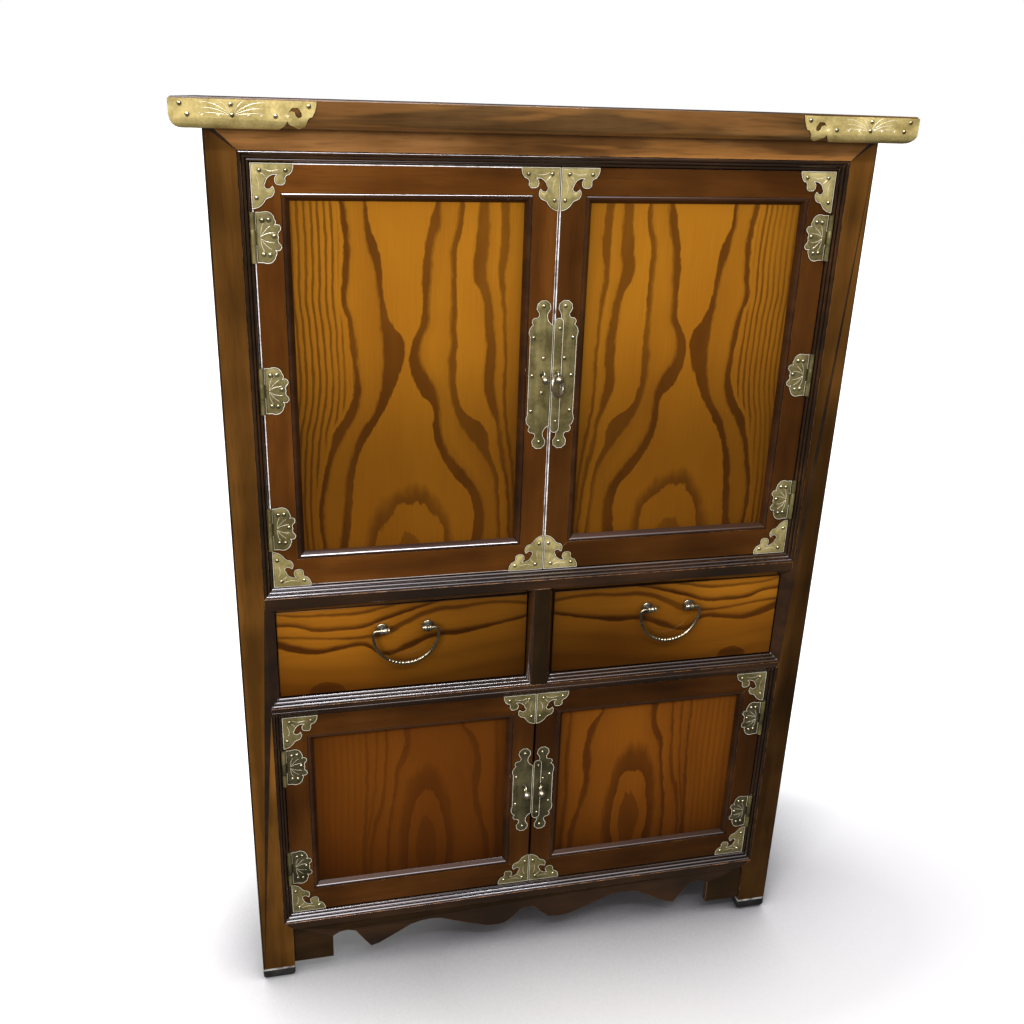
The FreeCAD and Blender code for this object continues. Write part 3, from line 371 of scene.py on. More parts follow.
def figured(name, node, figure, seed, tones, upright=True, contrast=1.0):
    """Bold growth lines: each is dark between its low and its high edge, and wanders along the grain.

    Edges and stations are thousandths of the panel, from the middle of the chest outward and from the
    bottom up, so that the two halves of a pair mirror each other. Drawers have the grain level.
    """
    shade = Shade(name)
    low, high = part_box(node)
    x, _, z = shade.split()

    def share(value, start, end):
        return shade.madd(value, 1 / (end - start), -start / (end - start))

    out = share(shade.math("ABSOLUTE", x), *sorted((abs(low[0]), abs(high[0]))))
    up = share(z, low[2], high[2])
    if upright:
        across, along = out, up
        flat, fibre = [shade.joined(x, seed, shade.times(z, scale)) for scale in (0.35, 0.03)]
    else:
        margin = figure["margin"]
        across, along = shade.madd(up, 1 - 2 * margin, margin), out
        flat, fibre = [shade.joined(shade.times(x, scale), seed, z) for scale in (0.35, 0.03)]

    def unrest(*settings):
        """Noise about zero."""
        return shade.math("SUBTRACT", shade.noise(flat, *settings), 0.5)

    sway = unrest(26.0, 2.0, 0.5)
    ragged = unrest(150.0, 2.0, 0.6)
    drift = shade.madd(sway, figure["sway"], shade.times(ragged, 0.024))
    line_at = shade.math("ADD", across, drift)
    here = shade.tripled(line_at)

    season = 0.0
    outer_edge = None
    for lines, strength, *softness in figure["lines"]:
        lows, highs = [shade.curves(along, [[(at / 1000, edge / 1000) for at, edge in
                                             zip(figure["stations"], line[k])] for line in lines])
                       for k in (0, 1)]
        outer_edge = outer_edge or shade.split(highs)[0]
        depths = (shade.vec("SUBTRACT", here, lows), shade.vec("SUBTRACT", highs, here))
        # A core with soft edges, and its paler tails
        for soft, start, part in ((softness[:2], 0.5, 1.0), (softness[2:], 1, 0.3)):
            slopes = []
            for depth, lengths in zip(depths, soft):
                slope = shade.vec("MULTIPLY_ADD", depth, tuple(1 / length for length in lengths), (start,) * 3)
                slopes.append(shade.vec("MAXIMUM", shade.vec("MINIMUM", slope, (1, 1, 1)), (0, 0, 0)))
            dark = shade.vec("DOT_PRODUCT", shade.vec("MULTIPLY", *slopes), tuple(part * s for s in strength))
            season = shade.math("ADD", season, dark)

    if figure["stripes"]:
        pitch, amount = figure["stripes"]
        past = shade.math("SUBTRACT", line_at, outer_edge)
        course = shade.madd(outer_edge, -0.35, shade.madd(drift, 0.45, across))
        phase = shade.math("FRACT", shade.madd(course, 1 / pitch, shade.times(sway, 0.5)))
        stripe = shade.ramp(phase, ((0.0, 0.0), (0.42, 0.1), (0.58, 0.95), (0.84, 0.85), (0.95, 0.0)))
        amount = shade.times(shade.ramp(past, ((0.012, 0.0), (0.03, amount))),
                             shade.ramp(shade.noise(flat, 14.0, 2.0, 0.5), ((0.3, 0.45), (0.5, 1.0))))
        season = shade.math("ADD", season, shade.times(stripe, amount))

    # Rings round the foot of the figure: a dark core and a ragged band
    centre, radii, band, core = figure["arch"]
    side, rise = [shade.madd(value, 1 / radius, -middle / radius)
                  for value, radius, middle in zip((across, along), radii, centre)]
    away = shade.math("SQRT", shade.madd(side, side, shade.times(rise, rise)))
    away = shade.madd(ragged, 0.12, shade.madd(unrest(42.0, 3.0, 0.55), 0.42, away))
    stops = [(0.0, 0.65), (core * 0.5, 0.55), (core * 0.5 + 0.02, 0.0)]
    if band:
        stops += [(band[0] * 0.5 - 0.01, 0.0), (band[0] * 0.5 + 0.01, 0.85), (band[1] * 0.5 - 0.05, 0.7),
                  (band[1] * 0.5 + 0.04, 0.0)]
    season = shade.math("ADD", season, shade.ramp(shade.times(away, 0.5), stops), clamp=True)

    grain = shade.noise(fibre, 420.0, 3.0, 0.65)
    broad = shade.noise(flat, 9.0, 2.0, 0.5)
    light, mid, dark = tones
    redder = shade.madd(up, -0.75, shade.madd(broad, 1.3, 0.15), clamp=True)
    body = shade.mix(redder, light, mid)
    body = shade.mix(shade.times(shade.ramp(grain, ((0.32, 1.0), (0.62, 0.0))), 0.13), body, dark)
    season = shade.times(season, shade.ramp(shade.noise(flat, 20.0, 2.0, 0.5),
                                            ((0.28, 0.78 * contrast), (0.55, 0.98 * contrast))))
    colour = shade.mix(season, body, dark)
    # Darker towards the panel's edges and ends, by the figure's shade_out and shade_up curves
    tone_shift = shade.times(shade.curve(out, figure["shade_out"]), shade.curve(up, figure["shade_up"]))
    # Darker in grooves and round fittings: dirt, and painted shade
    colour = shade.grime_and_shade(shade.mix(1.0, colour, shade.tripled(tone_shift), "MULTIPLY"), 0.016, 0.9)
    shade.bump(shade.madd(grain, 0.5, shade.times(season, -0.4)), 0.00018, 0.6)
    return shade.surface(Base_Color=colour, Roughness=shade.ramp(broad, ((0.3, 0.3), (0.7, 0.42))),
                         Specular_IOR_Level=0.1, Coat_Weight=0.4, Coat_Roughness=0.08)


def brass(name, light, dark, rough, metal=0.75, grime=0.85):
    """Aged brass: patches of patina, fine scratches and a slightly uneven surface."""
    shade = Shade(name)
    patches = shade.noise(shade.place, 30.0, 3.0, 0.55, 0.5)
    spots = shade.noise(shade.place, 260.0, 2.0, 0.6)
    brushed = shade.noise(shade.stretched((1.0, 1.0, 0.2)), 600.0, 2.0, 0.6)
    tone = shade.madd(patches, 0.75, shade.times(spots, 0.25))
    colour = shade.grime_and_shade(shade.ramp(tone, ((0.38, dark), (0.62, light))), 0.004, grime)
    finish = shade.madd(brushed, 0.05, shade.madd(patches, rough, rough * 0.5))
    shade.bump(shade.madd(brushed, 0.15, shade.times(patches, 0.8)), 0.0004, 0.4)
    return shade.surface(Base_Color=colour, Roughness=finish, Metallic=metal)


def rubber(name):
    """Dull black pad with a dusty, slightly grainy surface."""
    shade = Shade(name)
    dust = shade.noise(shade.place, 60.0, 4.0, 0.6)
    colour = shade.ramp(dust, ((0.35, (0.008, 0.008, 0.008)), (0.75, (0.035, 0.033, 0.03))))
    shade.bump(shade.noise(shade.place, 900.0, 2.0, 0.5), 0.0002, 0.5)
    return shade.surface(Base_Color=colour, Roughness=shade.ramp(dust, ((0.3, 0.45), (0.7, 0.7))))


def along_axes(name, tones, tone_shift=0.0, painted_light_by_height=None, tone_and_light_scale=1.0):
    """Lacquer with the grain along x, y and z, and the lacquer of its arrises."""
    tones = [tuple(part * tone_and_light_scale for part in tone) for tone in tones]
    return [lacquer(name + "_" + axis, k, *tones, tone_shift, painted_light_by_height) for k, axis in enumerate("xyz")] + [worn_edge]


worn_edge = wear_and_highlight_edge("worn_edge", (0.3, 0.135, 0.045), (0.05, 0.02, 0.007))
shadow_edge = lacquer("shadow_edge", 2, (0.004, 0.003, 0.002), (0.006, 0.004, 0.003), (0.01, 0.006, 0.004),
                      coat=0.05)
# Painted highlight: a near-white line on some door arrises, standing for light caught along the door edges
painted_highlight_edge = wear_and_highlight_edge("painted_highlight_edge", (0.95, 0.93, 0.93), (0.3, 0.22, 0.19), 0.3)

case_tones = ((0.05, 0.0205, 0.003), (0.11, 0.045, 0.007), (0.2, 0.086, 0.015))
case_wood = along_axes("case", case_tones, tone_and_light_scale=0.72)
# Both front posts are copies of the case lacquer with painted light and shade: the left one lighter and
# brightest low down, the right one brightest high up
left_post_wood = along_axes("left_post", case_tones, tone_and_light_scale=2.0, painted_light_by_height=(
    (0.0, 0.4), (0.12, 0.62), (0.35, 0.75), (0.75, 0.42), (1.4, 0.34)))
right_post_wood = along_axes("right_post", case_tones, painted_light_by_height=(
    (0.0, 0.3), (0.35, 0.34), (0.75, 0.5), (1.1, 0.95), (1.4, 1.0)))
rail_wood = along_axes("rail", ((0.06, 0.024, 0.006), (0.19, 0.082, 0.022), (0.42, 0.2, 0.066)), 0.9)
top_wood = along_axes("top", ((0.03, 0.014, 0.005), (0.066, 0.032, 0.01), (0.13, 0.068, 0.023)), 0.25)
# A darker copy of the case lacquer for the low rails, divider and aprons: painted shade
shaded_low_wood = along_axes("low", ((0.01, 0.0055, 0.002), (0.019, 0.01, 0.0035), (0.036, 0.018, 0.006)))
door_tones = ((0.044, 0.014, 0.002), (0.086, 0.028, 0.0035), (0.14, 0.048, 0.007))
# The door frames are lit and shaded copies of one lacquer, painted light: brightest on the upper left door,
# darker to the right and lower down
door_wood = {
    door: along_axes(door + "_frame", door_tones, tone_and_light_scale=tone_and_light_scale) + [rim]
    for door, tone_and_light_scale, rim in (("upper_left", 1.0, painted_highlight_edge), ("upper_right", 0.62, painted_highlight_edge),
                           ("lower_left", 0.64, shadow_edge), ("lower_right", 0.48, shadow_edge))
}
# Darker lacquers for beads and coves: painted shade in the mouldings' hollows
shaded_bead_wood = lacquer("bead", 0, (0.012, 0.006, 0.002), (0.026, 0.011, 0.003), (0.055, 0.022, 0.006), shine=2.6)
shaded_door_cove_wood = lacquer("door_cove", 0, (0.016, 0.006, 0.002), (0.03, 0.011, 0.003), (0.05, 0.018, 0.004),
                         coat=0.25)
shaded_door_bead_wood = lacquer("door_bead", 0, (0.016, 0.006, 0.002), (0.034, 0.012, 0.003), (0.065, 0.022, 0.005),
                         shine=2.6)
inner_wood = plain_wood("inner_wood_fine", (0.42, 0.27, 0.14), (0.24, 0.14, 0.065))
# Brass in lighter and darker copies: the upper doors' fittings lighter and the lower doors' darker, painted
# light, while plates are also lighter than leaves and locks
aged_brass = brass("aged_brass", (0.3, 0.25, 0.1), (0.135, 0.112, 0.042), 0.42, 0.5)
lit_upper_brass = brass("lit_upper_brass", (0.66, 0.55, 0.23), (0.34, 0.28, 0.105), 0.42, 0.5)
cap_brass = brass("cap_brass", (0.92, 0.74, 0.3), (0.54, 0.42, 0.15), 0.42, 0.55)
# Bright brass on plate rims and engraved strokes: polished wear, and a painted highlight on the rims
worn_and_highlight_brass = brass("worn_and_highlight_brass", (1.0, 0.94, 0.76), (0.76, 0.68, 0.48), 0.28, 0.35, 0.15)
nail_brass = brass("nail_brass", (0.66, 0.6, 0.38), (0.36, 0.32, 0.18), 0.24, 0.9, 0.5)
dark_brass = brass("dark_brass", (0.05, 0.045, 0.03), (0.02, 0.018, 0.012), 0.46, 0.3)
shaded_low_brass = brass("shaded_low_brass", (0.135, 0.115, 0.055), (0.058, 0.05, 0.024), 0.42, 0.5)
bail_brass = brass("bail_brass", (0.5, 0.45, 0.3), (0.17, 0.15, 0.09), 0.26, 0.95, 0.6)
ring_brass = brass("ring_brass", (0.62, 0.56, 0.42), (0.32, 0.28, 0.19), 0.32, 0.9, 0.6)
pad_rubber = rubber("pad_rubber")
pad_rim = wear_and_highlight_edge("pad_rim", (0.62, 0.6, 0.56), (0.16, 0.15, 0.14))


def arc(first, middle, last, count):
    """Points after the first one on the arc through three points."""
    (ax, ay), (mx, my), (bx, by) = first, middle, last
    area = 2 * (ax * (my - by) + mx * (by - ay) + bx * (ay - my))
    if abs(area) < 1e-9:
        return [last]
    squares = (ax * ax + ay * ay, mx * mx + my * my, bx * bx + by * by)
    cx = (squares[0] * (my - by) + squares[1] * (by - ay) + squares[2] * (ay - my)) / area
    cy = (squares[0] * (bx - mx) + squares[1] * (ax - bx) + squares[2] * (mx - ax)) / area
    radius = math.hypot(ax - cx, ay - cy)
    start, through, end = [math.atan2(v - cy, u - cx) for u, v in (first, middle, last)]
    sweep = (end - start) % math.tau
    if (through - start) % math.tau > sweep:
        sweep -= math.tau
    turns = [start + sweep * (k + 1) / count for k in range(count)]
    return [(cx + radius * math.cos(turn), cy + radius * math.sin(turn)) for turn in turns]


def traced(start, steps, count=7):
    """Outline through steps of (end) or (middle, end)."""
    points = [start]
    for step in steps:
        points += [step[0]] if len(step) == 1 else arc(points[-1], step[0], step[1], count)
    if math.dist(points[0], points[-1]) < 1e-6:
        points.pop()
    return points


def sized(steps, width, height):
    return [tuple((x * width, z * height) for x, z in step) for step in steps]


def retraced(start, steps, flip):
    """Steps that lead from the flipped end of an outline back to its flipped start."""
    ends = [start] + [step[-1] for step in steps]
    return [tuple(flip(*point) for point in step[:-1] + (end,))
            for step, end in zip(reversed(steps), reversed(ends[:-1]))]


class Piece:
    """A mesh piece that is put together from parts, each with its own material."""
    def __init__(self, materials, bm=None):
        self.bm = bmesh.new() if bm is None else bm
        self.materials = materials

    def paint(self, faces, material):
        for face in faces:
            face.material_index = self.materials.index(material)

    def plate(self, outline, place, material, thickness=plate_thickness):
        """Flat plate from an outline in mm, with an engraved border and a bright rim, which is polished wear
        and a painted highlight.

        place gives a point for u, v and a height off the wood.
        """
        bm = self.bm
        front = [bm.verts.new(place(u, v, thickness)) for u, v in outline]
        back = [bm.verts.new(place(u, v, 0)) for u, v in outline]
        face = bm.faces.new(front)
        sides = []
        for k in range(len(front)):
            after = (k + 1) % len(front)
            sides.append(bm.faces.new((front[k], back[k], back[after], front[after])))
        made = [face, bm.faces.new(back[::-1])] + sides
        bmesh.ops.recalc_face_normals(bm, faces=made)
        self.paint(made, material)
        inset, width, sink = plate_border
        for amount, depth, tone in ((inset, 0, worn_and_highlight_brass), (width / 2, -sink, dark_brass),
                                    (width / 2, sink, dark_brass)):
            ring = bmesh.ops.inset_region(bm, faces=[face], thickness=amount * MM, depth=depth * MM,
                                          use_even_offset=True)["faces"]
            self.paint(ring, tone)
        self.paint([face], material)
        edges = [edge for edge in bm.edges if edge.is_valid and set(edge.verts) <= set(front)
                 and any(side in edge.link_faces for side in sides)]
        self.paint(bevelled(bm, edges, plate_rim), worn_and_highlight_brass)

    def lathe(self, profile, foot, axis, material, sides):
        """Turned part: profile gives radius and height in mm from the foot along the axis."""
        turn = Vector((0, 0, 1)).rotation_difference(Vector(axis)).to_matrix()
        rings = []
        for radius, height in profile:
            ring = []
            for k in range(sides):
                angle = math.tau * k / sides
                local = Vector((radius * math.cos(angle), radius * math.sin(angle), height)) * MM
                ring.append(self.bm.verts.new(foot + turn @ local))
            rings.append(ring)
        self.bridge(rings, material, False)

    def bridge(self, rings, material, closed):
        bm = self.bm
        made = []
        for near, far in zip(rings, rings[1:] + (rings[:1] if closed else [])):
            for k in range(len(near)):
                after = (k + 1) % len(near)
                made.append(bm.faces.new((near[k], near[after], far[after], far[k])))
        if not closed:
            made += [bm.faces.new(rings[0][::-1]), bm.faces.new(rings[-1])]
        bmesh.ops.recalc_face_normals(bm, faces=made)
        self.paint(made, material)

    def tube(self, stations, material, sides, closed=False):
        """Wire through stations of (centre, across, beside, radius in mm)."""
        turns = [math.tau * k / sides for k in range(sides)]
        rings = [[self.bm.verts.new(centre + (across * math.cos(a) + beside * math.sin(a)) * radius * MM)
                  for a in turns] for centre, across, beside, radius in stations]
        self.bridge(rings, material, closed)

    def rib(self, points, place, width, height):
        """Fine raised line through u, v points in mm, standing for an engraved stroke."""
        bm = self.bm
        count = len(points)
        rows = []
        for k, (u, v) in enumerate(points):
            before, after = points[max(k - 1, 0)], points[min(k + 1, count - 1)]
            length = math.dist(before, after) or 1.0
            nu, nv = -(after[1] - before[1]) / length, (after[0] - before[0]) / length
            half = width / 2 * (0.35 + 0.65 * math.sin(math.pi * (k + 0.5) / count))
            rows.append([bm.verts.new(place(u + nu * half, v + nv * half, 0.0)),
                         bm.verts.new(place(u, v, height)),
                         bm.verts.new(place(u - nu * half, v - nv * half, 0.0))])
        made = []
        for near, far in zip(rows, rows[1:]):
            for k in range(2):
                made.append(bm.faces.new((near[k], near[k + 1], far[k + 1], far[k])))
        bmesh.ops.recalc_face_normals(bm, faces=made)
        self.paint(made, worn_and_highlight_brass)

    def strokes(self, lines, place, width=0.55, height=0.12, count=6):
        """Ribs along arcs through three points each."""
        for first, middle, last in lines:
            self.rib(traced(first, ((middle, last),), count), place, width, height)

    def nail(self, place, axis, size=1.0):
        """Domed nail head, a little crowned, with a slim skirt."""
        radius, height = nail_radius * size, nail_height * size
        profile = [(radius, -0.2), (radius, 0.12), (radius * 0.93, height * 0.38),
                   (radius * 0.74, height * 0.7), (radius * 0.44, height * 0.92), (radius * 0.12, height)]
        self.lathe(profile, place, axis, nail_brass, 14)

    def done(self, name, body, replaced, smooth_angle=35.0):
        new_piece(name, self.bm, self.materials, body, replaced, smooth_angle)


def bevelled(bm, edges, size, segments=1, material=-1):
    """Bevel of so many mm along the edges; gives its new faces."""
    return bmesh.ops.bevel(bm, geom=edges, offset=size * MM, segments=segments, profile=0.5,
                           affect="EDGES", clamp_overlap=True, material=material)["faces"]


def new_object(name, bm, materials):
    mesh = bpy.data.meshes.new(name)
    bm.to_mesh(mesh)
    bm.free()
    for material in materials:
        mesh.materials.append(material)
    made = bpy.data.objects.new(name, mesh)
    scene.collection.objects.link(made)
    return made


def new_piece(name, bm, materials, body, replaced, smooth_angle):
    """A piece that rides on a body and stands in for CAD nodes, sharp where it turns more than the angle."""
    piece = new_object(name, bm, materials)
    piece.data.shade_smooth()
    piece.data.set_sharp_from_angle(angle=math.radians(smooth_angle))
    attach(piece, body)
    if replaced:
        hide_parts(*replaced)
    return piece


def solids(mesh):
    """The mesh as closed solids: corners at one place are joined, but not those of two solids that touch."""
    places = [tuple(round(value * 1e6) for value in vert.co) for vert in mesh.vertices]
    beside = {}
    for face in mesh.polygons:
        for near, far in zip(face.vertices, face.vertices[1:] + face.vertices[:1]):
            beside.setdefault(frozenset((places[near], places[far])), []).append(face.index)
    owner = list(range(len(mesh.polygons)))

    def root(k):
        while owner[k] != k:
            k = owner[k]
        return k

    for faces in beside.values():
        for first, second in zip(faces[::2], faces[1::2]):
            owner[root(first)] = root(second)
    bm = bmesh.new()
    made = {}
    for face in mesh.polygons:
        corners = []
        for k in face.vertices:
            key = (root(face.index), places[k])
            if key not in made:
                made[key] = bm.verts.new(mesh.vertices[k].co)
            corners.append(made[key])
        if len(set(corners)) == len(corners):
            bm.faces.new(corners)
    bmesh.ops.dissolve_limit(bm, angle_limit=0.002, verts=bm.verts, edges=bm.edges)
    return bm


def islands(bm):
    """The separate members of a node, as sets of corners."""
    left = set(bm.verts)
    while left:
        todo = [left.pop()]
        island = set(todo)
        while todo:
            for edge in todo.pop().link_edges:
                for vert in edge.verts:
                    if vert in left:
                        left.remove(vert)
                        island.add(vert)
                        todo.append(vert)
        yield island


def eased(node, body, width, materials, mouldings=(), rim=None):
    """Copy of a wooden node with eased arrises; each member takes the material of its own grain.

    The fourth material, or the last, is for the square arrises, and the fifth for those that rim picks.
    mouldings are the materials of the narrow faces: the beads, then the steep coves if they differ; both are
    darker, painted shade.
    """
    bm = solids(nodes[node].data)
    plain = len(materials)
    if plain > 2:
        for island in islands(bm):
            sizes = [max(v.co[k] for v in island) - min(v.co[k] for v in island) for k in range(3)]
            for vert in island:
                for face in vert.link_faces:
                    face.material_index = sizes.index(max(sizes))
    for face in bm.faces:
        longest = max(edge.calc_length() for edge in face.edges)
        if mouldings and face.calc_area() < moulding_width * MM * longest:
            steep = face.normal.y > -math.cos(math.radians(cove_tilt))
            face.material_index = plain + (1 if steep and len(mouldings) > 1 else 0)
    passes = [(square_arris, min(3, plain - 1), width, None), (eased_arris, -1, width, None)]
    if rim:
        passes.insert(0, (square_arris, 4, painted_rim_width, rim))
    for least, index, size, chosen in passes:
        edges = [edge for edge in bm.edges if len(edge.link_faces) == 2
                 and edge.calc_face_angle(0) > math.radians(least) and edge.calc_length() > size * MM * 2
                 and (not chosen or all(chosen(vert.co) for vert in edge.verts))]
        bevelled(bm, edges, size, 2, index)
    piece = new_piece(node + "_eased", bm, materials + list(mouldings), body, (node,), smooth_wood)
    piece.modifiers.new("normals", "WEIGHTED_NORMAL").keep_sharp = True


def dressed(material, *names):
    """Give nodes that stay one material."""
    for name in names:
        for holder in nodes[name].material_slots:
            holder.material = material


# Wooden members
for wood, members in (
        (left_post_wood, ("front_post_left",)),
        (right_post_wood, ("front_post_right",)),
        (case_wood, ("back_post_left", "back_post_right")),
        (rail_wood, ("top_rail",)),
        (top_wood, ("top_board",)),
        (case_wood, ("upper_drawer_rail",)),
        (shaded_low_wood, ("lower_drawer_rail", "bottom_rail", "drawer_divider", "front_apron")),
        (case_wood, ("side_rails_left", "side_rails_right")),
        (shaded_low_wood, ("side_aprons",))):
    for node in members:
        eased(node, "carcass", case_ease, wood, () if node == "top_board" else (shaded_bead_wood,))


def door_rim(door):
    """Tells which front arrises of a door take its rim material: a painted highlight on the upper doors, a
    painted shadow on the lower ones.

    They are all but the lowest on the upper left door, and the meeting arris on the others.
    """
    low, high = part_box(door + "_door_frame")
    middle = (high[0] - low[0]) / 2
    near = 0.0001

    def on_rim(point):
        if door == "upper_left":
            outside = min(point.x - low[0], high[0] - point.x, high[2] - point.z) < near
        else:
            outside = min(abs(point.x - low[0]), abs(point.x - high[0])) < near and abs(point.x) < middle
        return outside and point.y - low[1] < near

    return on_rim


for door in ("upper_left", "upper_right", "lower_left", "lower_right"):
    eased(door + "_door_frame", door + "_door", door_ease, door_wood[door],
          (shaded_door_bead_wood, shaded_door_cove_wood), door_rim(door))
dressed(case_wood[2], "side_panels_left", "side_panels_right")
dressed(inner_wood, "back_panels", "back_rails", "drawer_guides", "drawer_deck", "upper_floor",
        "bottom_board", "left_drawer_box", "right_drawer_box")
dressed(aged_brass, "frame_hinges")

# Growth lines of the panels. Stations, in thousandths, go along the grain. Each group of three lines has
# their low and high edges, their strengths, and how soft the low and high sides of core and tails are
upper_figure = {
    "stations": (1000, 930, 870, 800, 730, 670, 610, 560, 480, 420, 360, 290, 220, 140, 0),
    "lines": (
        ((((775, 755, 749, 753, 766, 741, 728, 725, 715, 735, 788, 841, 868, 890, 882),
           (790, 779, 774, 779, 788, 764, 755, 746, 746, 779, 838, 866, 890, 910, 899)),
          ((677, 664, 629, 617, 610, 578, 523, 531, 577, 620, 677, 733, 755, 766, 788),
           (691, 685, 672, 644, 633, 624, 617, 617, 631, 661, 722, 760, 790, 799, 827)),
          ((368, 376, 403, 410, 421, 420, 456, 454, 388, 370, 365, 328, 244, 173, 166),
           (388, 417, 438, 448, 447, 453, 495, 503, 467, 399, 399, 368, 307, 218, 222))),
         (0.75, 0.8, 0.75), (0.012, 0.006, 0.018), (0.007, 0.014, 0.006), (0.02, 0.004, 0.05),
         (0.004, 0.11, 0.004)),
        ((((274, 277, 301, 301, 299, 301, 295, 299, 295, 270, 163, 141, 104, 91, 74),
           (290, 301, 326, 324, 321, 326, 323, 332, 326, 306, 263, 185, 124, 108, 91)),
          ((166, 163, 163, 171, 146, 135, 124, 121, 126, 110, 93, 76, 56, 41, 27),
           (204, 211, 222, 229, 180, 174, 166, 168, 173, 144, 111, 100, 74, 56, 41)),
          ((82, 80, 78, 93, 84, 78, 73, 70, 73, 67, 56, 38, 25, 16, 8),
           (119, 115, 115, 118, 104, 93, 88, 84, 87, 81, 71, 52, 36, 27, 19))),
         (0.65, 0.65, 0.6), (0.006, 0.012, 0.01), (0.016, 0.008, 0.01), (0.004, 0.04, 0.03),
         (0.08, 0.01, 0.01)),
    ),
    "stripes": (0.0265, 0.85),
    "arch": ((0.5, -0.02), (0.186, 0.196), (0.86, 1.08), 0.34),
    "sway": 0.012,
    "shade_out": ((0.0, 0.45), (0.05, 0.8), (0.12, 1.0), (0.75, 1.0), (0.92, 0.8), (1.0, 0.45)),
    "shade_up": ((0.0, 0.5), (0.04, 0.6), (0.3, 0.6), (0.48, 0.78), (0.65, 1.0), (0.95, 1.0), (1.0, 0.8)),
}
lower_figure = {
    "stations": (965, 855, 782, 721, 623, 538, 464, 367, 306, 220, 123),
    "lines": (
        ((((724, 722, 720, 721, 724, 726, 728, 733, 737, 742, 746),
           (735, 733, 733, 733, 735, 739, 744, 748, 753, 757, 762)),
          ((620, 622, 624, 630, 633, 639, 649, 675, 689, 702, 713),
           (633, 635, 638, 642, 648, 658, 671, 700, 708, 717, 726)),
          ((506, 510, 525, 556, 572, 582, 591, 604, 611, 618, 622),
           (539, 539, 567, 585, 590, 598, 608, 620, 628, 633, 638))),
         (0.55, 0.55, 0.65), (0.01, 0.01, 0.014), (0.01, 0.01, 0.008), (0.03, 0.03, 0.06),
         (0.006, 0.006, 0.006)),
        ((((672, 675, 677, 680, 683, 691, 697, 713, 722, 733, 739),
           (682, 684, 686, 689, 692, 702, 708, 722, 731, 739, 746)),
          ((233, 166, 155, 144, 146, 155, 155, 135, 130, 102, 89),
           (248, 204, 186, 180, 191, 188, 186, 168, 152, 135, 119)),
          ((64, 58, 53, 51, 49, 51, 53, 51, 47, 40, 36),
           (76, 71, 69, 69, 67, 69, 71, 69, 67, 62, 58))),
         (0.45, 0.65, 0.5), (0.01, 0.01, 0.014), (0.01, 0.016, 0.016), (0.02, 0.008, 0.01),
         (0.01, 0.11, 0.02)),
    ),
    "stripes": (0.032, 0.28),
    "arch": ((0.427, 0.178), (0.123, 0.45), (0.82, 1.2), 0.42),
    "sway": 0.014,
    "shade_out": ((0.0, 0.35), (0.05, 0.7), (0.14, 1.0), (0.86, 1.0), (0.95, 0.8), (1.0, 0.45)),
    "shade_up": ((0.0, 0.45), (0.08, 0.62), (0.35, 0.9), (0.6, 1.0), (0.9, 0.92), (1.0, 0.6)),
}
drawer_figure = {
    "stations": (1000, 930, 850, 760, 670, 580, 490, 380, 270, 160, 0),
    "lines": (
        ((((911, 877, 864, 857, 861, 907, 946, 975, 980, 980, 980),
           (924, 898, 890, 885, 894, 929, 968, 990, 990, 990, 990)),
          ((794, 775, 716, 712, 716, 781, 846, 920, 955, 972, 981),
           (829, 812, 760, 751, 755, 825, 885, 942, 976, 989, 998)),
          ((673, 660, 639, 617, 608, 626, 727, 825, 842, 868, 831),
           (695, 682, 660, 639, 639, 690, 781, 872, 877, 900, 864))),
         (0.6, 0.75, 0.6), (0.02, 0.012, 0.02), (0.02, 0.04, 0.02), (0.01, 0.01, 0.02),
         (0.08, 0.09, 0.06)),
        ((((576, 517, 483, 509, 530, 413, 465, 565, 574, 621, 701),
           (656, 591, 539, 556, 576, 452, 532, 617, 634, 662, 734)),
          ((344, 323, 284, 262, 258, 249, 273, 331, 370, 403, 452),
           (370, 348, 305, 284, 273, 262, 305, 370, 413, 452, 500)),
          ((154, 132, 89, 89, 67, 67, 89, 100, 143, 175, 214),
           (197, 175, 154, 154, 110, 110, 132, 154, 197, 240, 284))),
         (0.75, 0.16, 0.22), (0.014, 0.06, 0.06), (0.04, 0.06, 0.06), (0.01, 0.08, 0.08),
         (0.09, 0.08, 0.08)),
    ),
    "stripes": None,
    "arch": ((0.067, 0.816), (0.11, 0.066), None, 1.0),
    "sway": 0.022,
    "margin": 0.065,
    "shade_out": ((0.0, 0.3), (0.05, 0.42), (0.3, 0.52), (0.55, 0.74), (0.75, 1.0), (0.95, 0.95), (1.0, 0.7)),
    "shade_up": ((0.0, 0.55), (0.1, 0.7), (0.35, 0.85), (0.6, 1.0), (0.92, 1.0), (1.0, 0.75)),
}
gold_tones = ((0.305, 0.12, 0.007), (0.215, 0.073, 0.003), (0.08, 0.025, 0.002))
drawer_tones = ((0.31, 0.115, 0.007), (0.13, 0.038, 0.001), (0.045, 0.012, 0.001))
red_tones = (((0.13, 0.038, 0.003), (0.08, 0.02, 0.001), (0.032, 0.008, 0.001)),
             ((0.195, 0.06, 0.004), (0.1, 0.026, 0.001), (0.022, 0.005, 0.001)))
lower_contrasts = (0.6, 0.8)
for k, side in enumerate(("left", "right")):
    for tier, figure, seed, tones, contrast in (("upper", upper_figure, 0.3, gold_tones, 1.0),
                                                ("lower", lower_figure, 2.3, red_tones[k], lower_contrasts[k])):
        name = tier + "_" + side
        node = name + "_door_panel"
        dressed(figured(name + "_figure", node, figure, seed + k, tones, True, contrast), node)
    node = side + "_drawer_front"
    material = figured(side + "_drawer_figure", node, drawer_figure, 5.0 + k, drawer_tones, False)
    eased(node, side + "_drawer", door_ease, [material, worn_edge])


# Brass on the doors
face_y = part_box("upper_left_corner_plates")[1][1]


